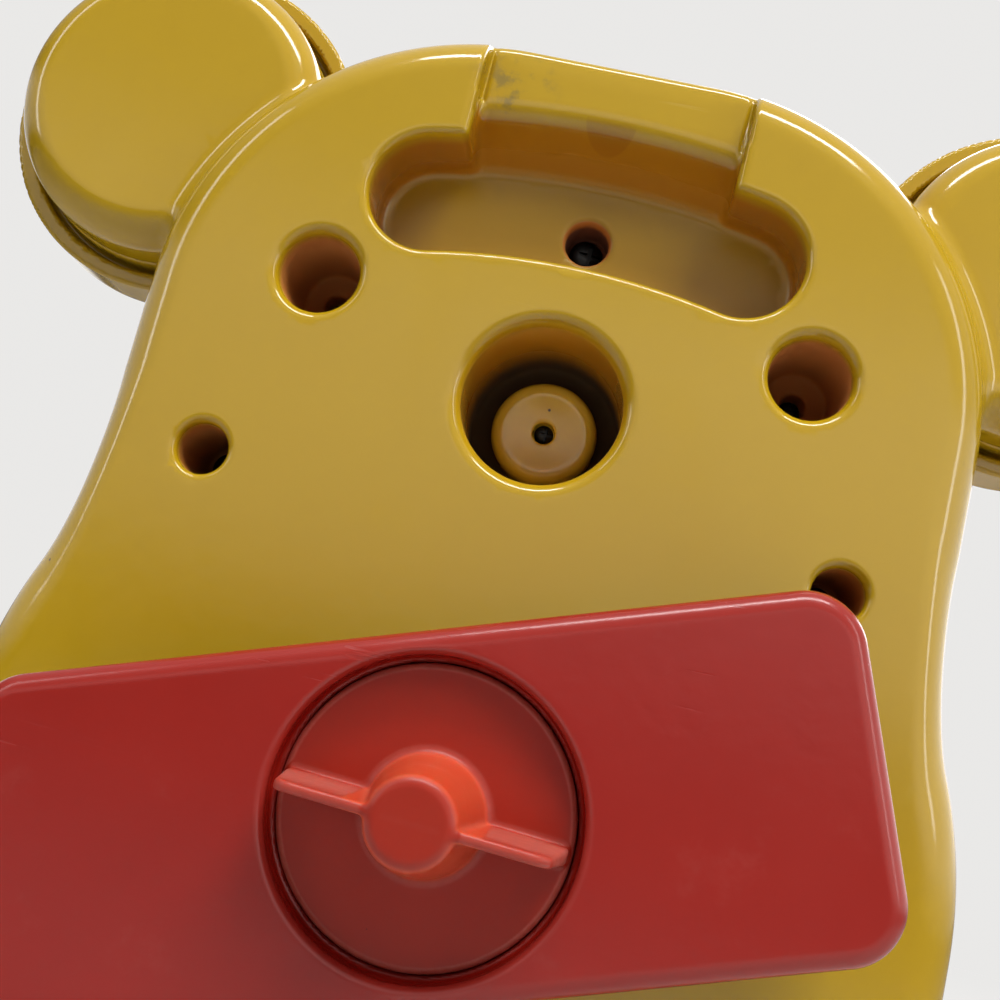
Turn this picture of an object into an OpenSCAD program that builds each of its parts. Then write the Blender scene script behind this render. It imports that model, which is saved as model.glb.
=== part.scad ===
// Crib activity toy in the outline of a plain bear, with a slat clamp on its back.
// Every piece is drawn in the plan of the back: u to the right as seen from behind,
// v up, w out of the back. built() then turns that plan upright, so the back faces +Y,
// the front faces -Y and +Z is up. The origin is where the clamp axis meets the back.

/* [Head, body and ears] */
// Half width of the head
head_half_w = 72.5; // [70:0.5:75]
// Half height of the head
head_half_h = 64.5; // [63:0.5:66]
// Radius of the head's corners
head_corner_r = 56; // [50:1:60]
// Height of the head's centre above the clamp axis
head_v = 67.2; // [66:0.2:69]
// Half width of the body
body_half_w = 82; // [80:1:84]
// Half height of the body
body_half_h = 79; // [78:1:80]
// Radius of the body's corners
body_corner_r = 77; // [70:1:77]
// Height of the body's centre, below the clamp axis
body_v = -7; // [-9:1:-5]
// Distance of each ear's centre from the middle
ear_u = 82; // [81:0.5:84]
// Height of each ear's centre above the clamp axis
ear_v = 111.3; // [110:0.1:112.5]
// Radius of the ear's back half
ear_r = 28.5; // [28:0.5:29]
// Outer radius of the ear's front cup
ear_cup_r = 33.2; // [32.6:0.1:34]
// How much lower the ear's back lies than the head's
ear_drop = 10; // [8:0.5:11]

/* [Shells] */
// Depth of the back shell
back_depth = 22.5; // [22:0.5:23]
// Depth of the front shell
front_depth = 23.5; // [23:0.5:24.5]
// Wall of both shells
wall = 3; // [2.5:0.1:3.2]
// Radius of the long edge round the back
back_edge_r = 8; // [7:0.5:9]
// Radius of the long edge round the front
front_edge_r = 10; // [8:0.5:11]

/* [Recess and wells] */
// Radius of the axle recess at its wall
recess_r = 13.6; // [13:0.1:14]
// Depth of the axle recess
recess_depth = 27; // [26:0.5:27]
// Radius of the rounded rim of the axle recess
recess_rim = 2.4; // [1.5:0.1:2.6]
// Sideways place of the two large wells
large_well_u = 42.4; // [41:0.2:44]
// Height of the large wells above the clamp axis
large_well_v = 81.2; // [80:0.2:83]
// Radius of a large well at its mouth
large_well_r = 7.1; // [6.8:0.1:7.4]
// Depth of the large wells
large_well_depth = 19.4; // [18:0.2:20]
// Sideways place of the small wells
small_well_u = 53.5; // [52:0.5:55]
// Height of the upper small wells above the clamp axis
small_well_v = 47; // [46:0.5:48]
// Height of the lower small wells, below the clamp axis
low_well_v = -50; // [-52:0.5:-48]
// Radius of a small well at its mouth
small_well_r = 4.4; // [4.2:0.1:4.6]
// Depth of the small wells
small_well_depth = 21; // [20:0.5:21]

/* [Finger pocket] */
// Radius of the arc that the pocket's lower wall follows
pocket_low_r = 126; // [124:1:128]
// Width of the pocket between its two long walls
pocket_w = 21; // [20:0.5:22]
// Half length of the pocket
pocket_half_l = 38; // [37:0.5:39]
// Height of the lower wall's middle above the clamp axis
pocket_v = 91.7; // [91:0.1:92.5]
// Depth of the pocket
pocket_depth = 16; // [15:0.5:16.5]
// Half width of the notch over the pocket
notch_half_w = 23.5; // [22:0.5:25]
// Height above the clamp axis of the edge where the notch's wall meets the lip
notch_v = 120.2; // [119:0.2:121]
// How far the lip beyond the notch is lowered
lip_drop = 5; // [4:0.5:6]
// Height of the hole in the pocket floor above the clamp axis
pocket_hole_v = 102; // [101:0.5:103]

/* [Slat clamp] */
// Half length of the clamp bar
bar_half_l = 63; // [60:0.5:65]
// Half height of the clamp bar
bar_half_h = 25.2; // [24.5:0.1:26]
// Thickness of the clamp bar
bar_t = 18; // [17:0.5:18.5]
// Gap between the back and the bar as stored
slat_gap = 11.5; // [11:0.5:14]
// Turn of the bar as stored, right end up seen from behind
bar_turn = 19.5; // [0:0.5:30]
// Radius of the bar's corners
bar_corner_r = 8.5; // [7:0.5:10]
// Radius of the bar's long edges
bar_edge_r = 3; // [2:0.5:3.5]
// Radius of the knob's disc
knob_r = 20.5; // [19:0.5:20.8]
// Radius of the recess that holds the disc
knob_recess_r = 21.6; // [21.4:0.1:22]
// Height of the knob's hub above its disc
hub_h = 18.8; // [17:0.2:20]
// Turn of the knob's wings as stored
wing_turn = -2; // [-10:1:10]
// Radius of the clamp's threaded stud
stud_r = 6; // [5.5:0.1:6.2]

/* [Front activities] */
// Number of petals on the spinner
petals = 6; // [5:1:7]
// Radius at which the petals sit
petal_ring_r = 23; // [22:0.5:24]
// Radius of a petal
petal_r = 13; // [12:0.5:13.5]
// Radius of the spinner's stem
stem_r = 6; // [5.5:0.1:6.2]
// Number of teeth on the click wheel
click_teeth = 16; // [12:1:20]
// Height of the button's centre, below the clamp axis
button_v = -34; // [-38:1:-32]
// Radius of the squeak button
button_r = 17; // [16:0.5:18]

/* [Hidden] */
$fn = 64;
// Overshoot that keeps cuts clear of the faces they open
over = 1;
// Least gap between pieces that move on one another
play = 0.4;
// Radial gap of a shaft in its bore
running_gap = 0.06;
front_w = -back_depth - front_depth;
front_inner_w = front_w + wall;
boss_meet_w = -28;
ear_front_w = front_w + 6;
ear_edge_r = 6.5;
groove_in_r = ear_r + 0.2;
groove_out_r = ear_cup_r - 2.3;
groove_depth = 5;
seam_groove = 1.5;
sides = [-1, 1];

well_flare = 1.6;
small_flare = 0.9;
well_taper = 1.1;
boss_wall = 2.5;
screw_bore_r = 1.5;
screw_r = 1.4;
screw_head_r = 2.1;
screw_head_h = 2;
sink_r = 2.3;
pocket_bore_r = 4;
pocket_bore_depth = 8;
screw_end_w = -39;
well_places = concat(
    [for (s = sides) [s * small_well_u, small_well_v]],
    [for (s = sides) [s * small_well_u, low_well_v]]);
large_well_places = [for (s = sides) [s * large_well_u, large_well_v]];

pocket_arc_v = pocket_v - pocket_low_r;
pocket_end_r = pocket_w / 2;
pocket_mid_r = pocket_low_r + pocket_end_r;
pocket_sweep = asin((pocket_half_l - pocket_end_r) / pocket_mid_r);
notch_r = notch_v - pocket_arc_v;
notch_sweep = asin(notch_half_w / pocket_low_r) + 2;
head_top_v = head_v + head_half_h;

bar_low_w = slat_gap;
bar_top_w = slat_gap + bar_t;
bar_wall = 2.5;
bar_cavity_w = bar_top_w - bar_wall;
knob_floor_w = bar_top_w - 9;
washer_t = 0.8;
washer_r = 15;
disc_low_w = knob_floor_w + washer_t + 0.3;
disc_top_w = bar_top_w - 3.7;
hub_base_r = 8.4;
hub_top_r = 6.3;
hub_top_w = disc_top_w + hub_h;
wing_top_half_l = 17.9;
wing_base_half_l = 20.1;
wing_base_t = 2.5;
wing_top_t = 1.7;
bush_r = 10;
bush_low_w = slat_gap + 3.5;
clip_t = 1.5;
clip_r = 9.5;
stud_low_w = -17;
stud_top_w = disc_top_w + 10;
stud_bore_r = stud_r + running_gap;
nut_r = 10.4;
nut_low_w = -17;
nut_boss_r = 13.5;
nut_boss_low_w = -20;

stem_bore_r = stem_r + running_gap;
recess_floor_t = 3;
cap_r = 9.7;
cap_low_w = -recess_depth + play;
cap_top_w = -21;
cap_hole_r = 2;
dial_back_w = front_w - 2;
dial_t = 9;
dial_step = 1.5;
dial_core_r = 18;
hub_cap_r = 12;
hub_cap_t = 6;
bush_out_r = 9;
bush_flange_r = 11.5;
bush_flange_t = 2;
wheel_low_w = -39;
wheel_top_w = -34;
wheel_tip_r = 13;
wheel_root_r = 11.6;
leaf_t = 0.8;
leaf_u = wheel_tip_r + play;
leaf_low_v = head_v - 8;
leaf_top_v = head_v + 24;
leaf_post_r = 4;
leaf_post_u = leaf_u + leaf_t + 4;
leaf_post_v = leaf_top_v - 4;
leaf_foot_w = wheel_top_w;

inlay_r = 16;
inlay_t = 2.5;
// How far an inlay sits outwards from its ear's centre, clear of the head
inlay_shift_u = 3.5;
inlay_shift_v = 2;
button_front_w = front_w - 7;
button_rear_w = front_inner_w + 3;
button_flange_r = button_r + 2.5;
button_bore_r = button_r + play;
button_wall = 3;
button_post_r = 9.5;
bezel_out_r = button_r + 6;
bezel_t = 3;
reed_r = 9;
reed_low_w = -22;
post_low_w = -20;
bellows_front_w = button_rear_w + play;
bellows_in_r = 8.5;
bellows_out_r = 12.5;
bellows_folds = 4;

// Turns the plan of the back upright
module built() {
    rotate([90, 0, 180]) children();
}

// Outline with straight sides and round corners
module round_rect(half_w, half_h, corner_r) {
    for (su = sides, sv = sides)
        translate([su * (half_w - corner_r), sv * (half_h - corner_r)]) circle(r = corner_r);
    square([2 * half_w, 2 * (half_h - corner_r)], center = true);
    square([2 * (half_w - corner_r), 2 * half_h], center = true);
}

// Section of a block whose upper edges are rounded
module rounded_section(half, height, edge) {
    translate([-half, 0]) square([2 * half, height - edge]);
    translate([edge - half, 0]) square([2 * (half - edge), height]);
    for (s = sides) translate([s * (half - edge), height - edge]) circle(r = edge);
}

// Disc whose upper edge is rounded
module rounded_disc(r, height, edge) {
    rotate_extrude() intersection() {
        square([r, height]);
        union() {
            square([r, height - edge]);
            square([r - edge, height]);
            translate([r - edge, height - edge]) circle(r = edge);
        }
    }
}

// Block with round corners and a rounded upper edge
module rounded_block(half_w, half_h, corner_r, height, edge) {
    run_u = half_w - corner_r;
    run_v = half_h - corner_r;
    for (su = sides, sv = sides)
        translate([su * run_u, sv * run_v, 0]) rotate(su > 0 ? 180 : 0)
            rounded_disc(corner_r, height, edge);
    translate([-run_u, 0, 0]) rotate([90, 0, 90])
        linear_extrude(2 * run_u) rounded_section(half_h, height, edge);
    translate([0, run_v, 0]) rotate([90, 0, 0])
        linear_extrude(2 * run_v) rounded_section(half_w, height, edge);
}

// Head and body as one rounded slab, drawn in by inset all round
module torso(inset, height, edge) {
    translate([0, head_v, 0])
        rounded_block(head_half_w - inset, head_half_h - inset, head_corner_r - inset, height, edge);
    translate([0, body_v, 0])
        rounded_block(body_half_w - inset, body_half_h - inset, body_corner_r - inset, height, edge);
}

// Flat outline of head and body
module torso_outline(inset) {
    translate([0, head_v])
        round_rect(head_half_w - inset, head_half_h - inset, head_corner_r - inset);
    translate([0, body_v])
        round_rect(body_half_w - inset, body_half_h - inset, body_corner_r - inset);
}

// Children once on each ear
module on_ears() {
    for (s = sides) translate([s * ear_u, ear_v, 0]) children();
}

// Children once on each place of a list
module on_places(places) {
    for (p = places) translate([p[0], p[1], 0]) children();
}

// Round hole sunk from the back, with a taper and a rounded rim
module sunk_hole(mouth_r, floor_r, depth, rim) {
    translate([0, 0, -depth]) cylinder(h = depth, r1 = floor_r, r2 = mouth_r);
    rotate_extrude() difference() {
        translate([0, -rim]) square([mouth_r + rim, rim + over]);
        translate([mouth_r + rim, -rim]) circle(r = rim);
    }
}

// Plain cylinder between two depths
module rod(r, low_w, top_w) {
    translate([0, 0, low_w]) cylinder(h = top_w - low_w, r = r);
}

// Cross-slotted screw whose head sits on seat_w
module cross_screw(seat_w, end_w, head_r, head_h, shank_r) {
    slot_l = head_r * 1.2;
    slot_w = head_r * 0.3;
    slot_depth = head_h * 0.6;
    difference() {
        union() {
            translate([0, 0, seat_w]) rounded_disc(head_r, head_h, head_h * 0.4);
            rod(shank_r, end_w, seat_w + head_h / 2);
        }
        for (turn = [0, 90]) rotate(turn)
            translate([-slot_l / 2, -slot_w / 2, seat_w + head_h - slot_depth])
                cube([slot_l, slot_w, slot_depth + over]);
    }
}

// Pocket with curved long walls and round ends, widened by grow, from its floor upwards
module pocket_form(grow, height) {
    translate([0, pocket_arc_v, 0]) rotate(90 - pocket_sweep)
        rotate_extrude(angle = 2 * pocket_sweep)
            translate([pocket_low_r - grow, 0]) square([pocket_w + 2 * grow, height]);
    for (s = sides)
        translate([s * pocket_mid_r * sin(pocket_sweep),
                   pocket_arc_v + pocket_mid_r * cos(pocket_sweep), 0])
            cylinder(h = height, r = pocket_end_r + grow);
}

// Walls under the finger pocket, its notch and its lip
module pocket_walls() {
    intersection() {
        translate([0, 0, -pocket_depth - wall]) union() {
            pocket_form(wall, pocket_depth);
            translate([-notch_half_w - wall, pocket_v + pocket_w - 4, 0])
                cube([2 * (notch_half_w + wall), head_top_v - pocket_v - pocket_w + 4, pocket_depth]);
        }
        translate([0, 0, -back_depth]) torso(wall / 2, back_depth, back_edge_r);
    }
}

// The open space of the notch, whose curved upper wall leans from the pocket's floor out to the lip
module notch_form() {
    foot_r = pocket_low_r + pocket_w - 0.1;
    intersection() {
        translate([0, pocket_arc_v, 0]) rotate(90 - notch_sweep)
            rotate_extrude(angle = 2 * notch_sweep)
                polygon([[pocket_mid_r, -pocket_depth], [foot_r, -pocket_depth],
                         [notch_r, -lip_drop], [notch_r, over], [pocket_mid_r, over]]);
        translate([-notch_half_w, pocket_v, -pocket_depth - over])
            cube([2 * notch_half_w, head_top_v - pocket_v, pocket_depth + 3 * over]);
    }
}

// The open space of the pocket, its notch and its lip
module pocket_cut() {
    lip_start_v = notch_v - 4;
    translate([0, 0, -pocket_depth]) pocket_form(0, pocket_depth + over);
    notch_form();
    translate([-notch_half_w, lip_start_v, -lip_drop])
        cube([2 * notch_half_w, head_top_v - lip_start_v + over, lip_drop + over]);
}

// Rear half of the housing, with every recess that opens in the back
module back_shell() {
    color("goldenrod") built() difference() {
        union() {
            difference() {
                union() {
                    translate([0, 0, -back_depth]) torso(0, back_depth, back_edge_r);
                    translate([0, 0, -back_depth])
                        on_ears() rounded_disc(ear_r, back_depth - ear_drop, ear_edge_r);
                }
                translate([0, 0, -back_depth - over])
                    torso(wall, back_depth + over - wall, back_edge_r - wall);
                translate([0, 0, -back_depth - over]) on_ears()
                    rounded_disc(ear_r - wall, back_depth + over - ear_drop - wall, ear_edge_r - wall);
            }
            translate([0, head_v, 0])
                rod(recess_r + boss_wall, -recess_depth - recess_floor_t, -wall / 2);
            on_places(large_well_places) rod(large_well_r + boss_wall, boss_meet_w, -wall / 2);
            on_places(well_places) rod(small_well_r + boss_wall, boss_meet_w, -wall / 2);
            translate([0, pocket_hole_v, 0])
                rod(pocket_bore_r + boss_wall, boss_meet_w, -pocket_depth - wall / 2);
            rod(nut_boss_r, nut_boss_low_w, -wall / 2);
            translate([0, button_v, 0]) rod(reed_r, post_low_w, -wall / 2);
            pocket_walls();
        }
        translate([0, head_v, 0]) {
            sunk_hole(recess_r, recess_r, recess_depth, recess_rim);
            rod(stem_bore_r, -recess_depth - recess_floor_t - over, -recess_depth + over);
        }
        on_places(large_well_places) {
            sunk_hole(large_well_r, large_well_r - well_taper, large_well_depth, well_flare);
            rod(sink_r, -large_well_depth - 5, -large_well_depth + over);
            rod(screw_bore_r, boss_meet_w - over, -large_well_depth);
        }
        on_places(well_places) {
            sunk_hole(small_well_r, small_well_r, small_well_depth, small_flare);
            rod(screw_bore_r, boss_meet_w - over, -small_well_depth + over);
        }
        translate([0, pocket_hole_v, 0]) {
            rod(pocket_bore_r, -pocket_depth - pocket_bore_depth, -pocket_depth + over);
            rod(screw_bore_r, boss_meet_w - over, -pocket_depth);
        }
        pocket_cut();
        rod(stud_r + play, -wall - over, over);
        translate([0, 0, nut_boss_low_w - over])
            cylinder(h = -wall - nut_boss_low_w + over, r = nut_r + 0.1, $fn = 6);
    }
}

// Front half of the housing, with the ear cups, the bearing hole and the button hole
module front_shell() {
    front_bosses = concat(large_well_places, well_places, [[0, pocket_hole_v]]);
    cup_depth = -back_depth - ear_front_w;
    color("gold") built() difference() {
        union() {
            difference() {
                union() {
                    translate([0, 0, -back_depth]) mirror([0, 0, 1])
                        torso(0, front_depth, front_edge_r);
                    translate([0, 0, -back_depth]) mirror([0, 0, 1])
                        on_ears() rounded_disc(ear_cup_r, cup_depth, ear_edge_r);
                }
                translate([0, 0, -back_depth + over]) mirror([0, 0, 1])
                    torso(wall, front_depth + over - wall, front_edge_r - wall);
                on_ears() rod(ear_r - wall, ear_front_w + wall, -back_depth + over);
            }
            on_places(front_bosses) rod(4.5, front_inner_w - wall / 2, boss_meet_w);
            translate([leaf_post_u, leaf_post_v, 0])
                rod(leaf_post_r, front_inner_w - wall / 2, leaf_foot_w - leaf_t);
        }
        on_ears() difference() {
            rod(groove_out_r, -back_depth - groove_depth, -back_depth + over);
            rod(groove_in_r, -back_depth - groove_depth - over, -back_depth + 2 * over);
        }
        translate([0, 0, -back_depth - seam_groove]) linear_extrude(seam_groove + over) difference() {
            torso_outline(-over);
            torso_outline(seam_groove);
            on_ears() circle(r = groove_out_r + 0.01);
        }
        on_places(front_bosses) rod(screw_bore_r, screw_end_w - over, boss_meet_w + over);
        translate([leaf_post_u, leaf_post_v, 0])
            rod(1.3, leaf_foot_w - 6, leaf_foot_w);
        translate([0, head_v, 0]) rod(bush_out_r, front_w - over, front_inner_w + over);
        translate([0, button_v, 0]) rod(button_bore_r, front_w - over, front_inner_w + over);
    }
}

// Two screws sunk under the floors of the large wells
module large_well_screws() {
    color("silver") built() on_places(large_well_places)
        cross_screw(-large_well_depth - 5, screw_end_w, screw_head_r, screw_head_h, screw_r);
}

// Four screws on the floors of the small wells
module small_well_screws() {
    color("silver") built() on_places(well_places)
        cross_screw(-small_well_depth, screw_end_w, small_well_r - 0.9, screw_head_h, screw_r);
}

// Screw at the bottom of the hole in the pocket floor
module pocket_screw() {
    color("silver") built() translate([0, pocket_hole_v, 0])
        cross_screw(-pocket_depth - pocket_bore_depth, screw_end_w, 3.4, screw_head_h, screw_r);
}

// Ring of round petals about a core, drawn in by inset
module petal_outline(inset) {
    circle(r = dial_core_r);
    for (i = [0 : petals - 1]) rotate(90 + i * 360 / petals)
        translate([petal_ring_r, 0]) circle(r = petal_r - inset);
}

// Flower-shaped spinner with its stem
module spinner_dial() {
    color("firebrick") built() translate([0, head_v, 0]) difference() {
        union() {
            translate([0, 0, dial_back_w]) mirror([0, 0, 1]) {
                linear_extrude(dial_t - dial_step) petal_outline(0);
                linear_extrude(dial_t) petal_outline(dial_step);
            }
            rod(stem_r, dial_back_w - over, cap_low_w);
        }
        rod(screw_r, cap_low_w - 14, cap_low_w + over);
    }
}

// Domed trim on the middle of the spinner
module spinner_hub_cap() {
    color("white") built() translate([0, head_v, dial_back_w - dial_t]) mirror([0, 0, 1])
        rounded_disc(hub_cap_r, hub_cap_t, hub_cap_t - 1);
}

// Rear end cap of the spinner's axle, which shows in the recess
module axle_cap() {
    cap_t = cap_top_w - cap_low_w;
    color("goldenrod") built() translate([0, head_v, 0]) difference() {
        translate([0, 0, cap_low_w]) rounded_disc(cap_r, cap_t, 2.2);
        rod(cap_hole_r, cap_low_w + 2.2, cap_top_w + over);
        rod(screw_bore_r, cap_low_w - over, cap_top_w);
        translate([0, 0, cap_top_w]) rotate_extrude() translate([5.4, 0]) circle(r = 0.35);
    }
}

// Screw that holds the axle cap on the stem
module axle_screw() {
    color("dimgray") built() translate([0, head_v, 0])
        cross_screw(cap_low_w + 2.2, cap_low_w - 13, cap_hole_r - 0.15, 1.4, screw_r - 0.1);
}

// Plain bearing of the spinner in the front shell
module spinner_bush() {
    color("ivory") built() translate([0, head_v, 0]) difference() {
        union() {
            rod(bush_out_r, front_w, front_inner_w + bush_flange_t);
            rod(bush_flange_r, front_inner_w, front_inner_w + bush_flange_t);
        }
        rod(stem_bore_r, front_w - over, front_inner_w + bush_flange_t + over);
    }
}

// Toothed wheel on the stem that the leaf clicks over
module click_wheel() {
    step = 180 / click_teeth;
    teeth = [for (i = [0 : 2 * click_teeth - 1])
        let (r = i % 2 == 0 ? wheel_tip_r : wheel_root_r) [r * cos(i * step), r * sin(i * step)]];
    color("ivory") built() translate([0, head_v, wheel_low_w]) difference() {
        linear_extrude(wheel_top_w - wheel_low_w) polygon(teeth);
        translate([0, 0, -over]) cylinder(h = wheel_top_w - wheel_low_w + 2 * over, r = stem_r);
    }
}

// Springy leaf beside the click wheel, with its foot on a post
module click_leaf() {
    color("ivory") built() difference() {
        union() {
            translate([leaf_u, leaf_low_v, wheel_low_w])
                cube([leaf_t, leaf_top_v - leaf_low_v, wheel_top_w - wheel_low_w]);
            translate([leaf_u, leaf_post_v - leaf_post_r, leaf_foot_w - leaf_t])
                cube([leaf_post_u - leaf_u + leaf_post_r, 2 * leaf_post_r, leaf_t]);
        }
        translate([leaf_post_u, leaf_post_v, 0]) rod(screw_bore_r, wheel_low_w, wheel_top_w + over);
    }
}

// Screw that holds the click leaf
module click_leaf_screw() {
    color("silver") built() translate([leaf_post_u, leaf_post_v, 0])
        cross_screw(leaf_foot_w, leaf_foot_w - 5, 2.6, 1.6, 1.2);
}

// Coloured disc on the front of one ear
module ear_inlay(side) {
    color("firebrick") built()
        translate([side * (ear_u + inlay_shift_u), ear_v + inlay_shift_v, ear_front_w])
            mirror([0, 0, 1]) rounded_disc(inlay_r, inlay_t, 1.5);
}

module ear_inlay_left() {
    ear_inlay(1);
}

module ear_inlay_right() {
    ear_inlay(-1);
}

// Domed push button on the belly, with the flange that keeps it in
module squeak_button() {
    color("royalblue") built() translate([0, button_v, 0]) difference() {
        union() {
            translate([0, 0, button_rear_w]) mirror([0, 0, 1])
                rounded_disc(button_r, button_rear_w - button_front_w, 6);
            rod(button_flange_r, front_inner_w + play, button_rear_w);
        }
        difference() {
            rod(button_r - button_wall, button_front_w + button_wall + 1, button_rear_w + over);
            rod(button_post_r, button_front_w, button_rear_w + 2 * over);
        }
    }
}

// Ring round the button
module button_bezel() {
    color("firebrick") built() translate([0, button_v, front_w]) mirror([0, 0, 1]) difference() {
        rounded_disc(bezel_out_r, bezel_t, 2);
        translate([0, 0, -over]) cylinder(h = bezel_t + 2 * over, r = button_bore_r);
    }
}

// Folded rubber bellows that squeaks and pushes the button back
module squeaker_bellows() {
    fold_l = (reed_low_w - bellows_front_w) / bellows_folds;
    skin = 1.2;
    outside = [for (i = [0 : 2 * bellows_folds])
        [i % 2 == 0 ? bellows_in_r : bellows_out_r, bellows_front_w + i * fold_l / 2]];
    inside = [for (i = [2 * bellows_folds : -1 : 0])
        [(i % 2 == 0 ? bellows_in_r : bellows_out_r) - skin * 1.6, bellows_front_w + i * fold_l / 2]];
    color("dimgray") built() translate([0, button_v, 0]) union() {
        rotate_extrude() polygon(concat(outside, inside));
        rod(bellows_in_r - skin, bellows_front_w, bellows_front_w + skin);
    }
}

// Disc with the squeaker's air hole, between the bellows and its post
module squeaker_reed() {
    color("white") built() translate([0, button_v, 0]) difference() {
        rod(reed_r, reed_low_w, post_low_w);
        rod(1, reed_low_w - over, post_low_w + over);
    }
}

// Threaded block in the back shell that the clamp stud screws into
module clamp_nut() {
    color("ivory") built() difference() {
        translate([0, 0, nut_low_w]) cylinder(h = -wall - nut_low_w, r = nut_r, $fn = 6);
        rod(stud_bore_r, nut_low_w - over, over);
    }
}

// Coarse-threaded stud moulded for the knob
module clamp_stud() {
    chamfer = 1.2;
    color("ivory") built() rotate_extrude()
        polygon([[0, stud_low_w], [stud_r - chamfer, stud_low_w], [stud_r, stud_low_w + chamfer],
                 [stud_r, stud_top_w], [0, stud_top_w]]);
}

// Knob with a disc, a tapered hub and two thin wings
module wing_knob() {
    color("orangered") built() rotate(wing_turn) difference() {
        union() {
            translate([0, 0, disc_low_w]) rounded_disc(knob_r, disc_top_w - disc_low_w, 0.8);
            translate([0, 0, disc_top_w - over])
                cylinder(h = hub_h + over, r1 = hub_base_r, r2 = hub_top_r);
            for (half = [0, 180]) rotate(half) wing();
        }
        rod(stud_r, disc_low_w - over, stud_top_w);
    }
}

// One wing, longer and thicker at its foot than at its rim
module wing() {
    low_w = disc_top_w - over;
    side_profile = [[0, low_w], [wing_base_half_l, low_w], [wing_base_half_l, disc_top_w + 2],
                    [wing_top_half_l, hub_top_w - 1.5], [wing_top_half_l - 1.5, hub_top_w], [0, hub_top_w]];
    end_profile = [[-wing_base_t / 2, low_w], [wing_base_t / 2, low_w],
                   [wing_top_t / 2, hub_top_w], [-wing_top_t / 2, hub_top_w]];
    intersection() {
        translate([0, wing_base_t, 0]) rotate([90, 0, 0])
            linear_extrude(2 * wing_base_t) polygon(side_profile);
        rotate([90, 0, 90]) linear_extrude(wing_base_half_l + over) polygon(end_profile);
    }
}

// Thrust washer between the knob's disc and the bar
module knob_washer() {
    color("ivory") built() difference() {
        rod(washer_r, knob_floor_w + 0.1, knob_floor_w + 0.1 + washer_t);
        rod(stud_r + 0.3, knob_floor_w - over, disc_low_w + over);
    }
}

// Ring on the stud that keeps the bar on it
module stud_clip() {
    color("silver") built() difference() {
        rod(clip_r, bush_low_w - play - clip_t, bush_low_w - play);
        rod(stud_r, 0, bush_low_w);
    }
}

// Hollow bar that presses the slats against the back
module clamp_bar() {
    rib_t = 2;
    color("firebrick") built() rotate(bar_turn) difference() {
        union() {
            difference() {
                translate([0, 0, bar_low_w])
                    rounded_block(bar_half_l, bar_half_h, bar_corner_r, bar_t, bar_edge_r);
                translate([0, 0, bar_low_w - over])
                    linear_extrude(bar_cavity_w - bar_low_w + over)
                        round_rect(bar_half_l - bar_wall, bar_half_h - bar_wall, bar_corner_r - bar_wall);
            }
            rod(knob_recess_r + bar_wall, knob_floor_w - bar_wall, bar_cavity_w + over);
            rod(bush_r, bush_low_w, knob_floor_w);
            for (u = [-40, 40])
                translate([u - rib_t / 2, -bar_half_h + over, bar_low_w + 2])
                    cube([rib_t, 2 * (bar_half_h - over), bar_cavity_w - bar_low_w]);
            translate([-bar_half_l + over, -rib_t / 2, bush_low_w + over])
                cube([2 * (bar_half_l - over), rib_t, bar_cavity_w - bush_low_w]);
        }
        rod(knob_recess_r, knob_floor_w, bar_top_w + over);
        rod(stud_bore_r, bar_low_w - over, knob_floor_w + over);
    }
}

back_shell();
front_shell();
large_well_screws();
small_well_screws();
pocket_screw();
spinner_dial();
spinner_hub_cap();
axle_cap();
axle_screw();
spinner_bush();
click_wheel();
click_leaf();
click_leaf_screw();
ear_inlay_left();
ear_inlay_right();
squeak_button();
button_bezel();
squeaker_bellows();
squeaker_reed();
clamp_nut();
clamp_stud();
wing_knob();
knob_washer();
stud_clip();
clamp_bar();
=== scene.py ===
import math

import bpy
import numpy as np
import openvdb
from mathutils import Matrix, Vector


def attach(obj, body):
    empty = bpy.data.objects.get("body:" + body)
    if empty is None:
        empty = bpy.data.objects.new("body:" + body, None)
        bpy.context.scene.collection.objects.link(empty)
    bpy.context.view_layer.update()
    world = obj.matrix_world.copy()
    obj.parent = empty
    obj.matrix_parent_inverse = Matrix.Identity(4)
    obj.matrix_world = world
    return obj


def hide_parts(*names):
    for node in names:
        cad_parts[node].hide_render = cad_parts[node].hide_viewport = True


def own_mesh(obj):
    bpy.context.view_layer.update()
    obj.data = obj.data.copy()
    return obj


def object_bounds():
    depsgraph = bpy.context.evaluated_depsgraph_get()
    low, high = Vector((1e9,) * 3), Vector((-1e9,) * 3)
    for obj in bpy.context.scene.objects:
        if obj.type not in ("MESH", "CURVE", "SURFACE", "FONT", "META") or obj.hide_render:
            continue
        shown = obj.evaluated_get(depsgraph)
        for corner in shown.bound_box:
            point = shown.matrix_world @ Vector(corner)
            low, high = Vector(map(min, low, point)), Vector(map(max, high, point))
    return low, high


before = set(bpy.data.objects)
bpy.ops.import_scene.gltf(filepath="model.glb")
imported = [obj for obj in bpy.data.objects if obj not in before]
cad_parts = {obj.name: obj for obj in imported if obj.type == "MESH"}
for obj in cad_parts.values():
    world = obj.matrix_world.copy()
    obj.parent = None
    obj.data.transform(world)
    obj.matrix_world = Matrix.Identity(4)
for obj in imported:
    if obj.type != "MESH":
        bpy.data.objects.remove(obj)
cad_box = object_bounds()

# Every shape is written in the plan of the back, in millimetres: u to the right as seen
# from behind, v up, w out of the back. The origin is where the clamp axis meets the back.
MM = 0.001
MICRON = 0.000001

# Roundings that several small edges and fillets share
FINE_ROUND = 0.3
SMALL_ROUND = 0.5
SOFT_ROUND = 0.6
BROAD_ROUND = 1.2

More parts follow.
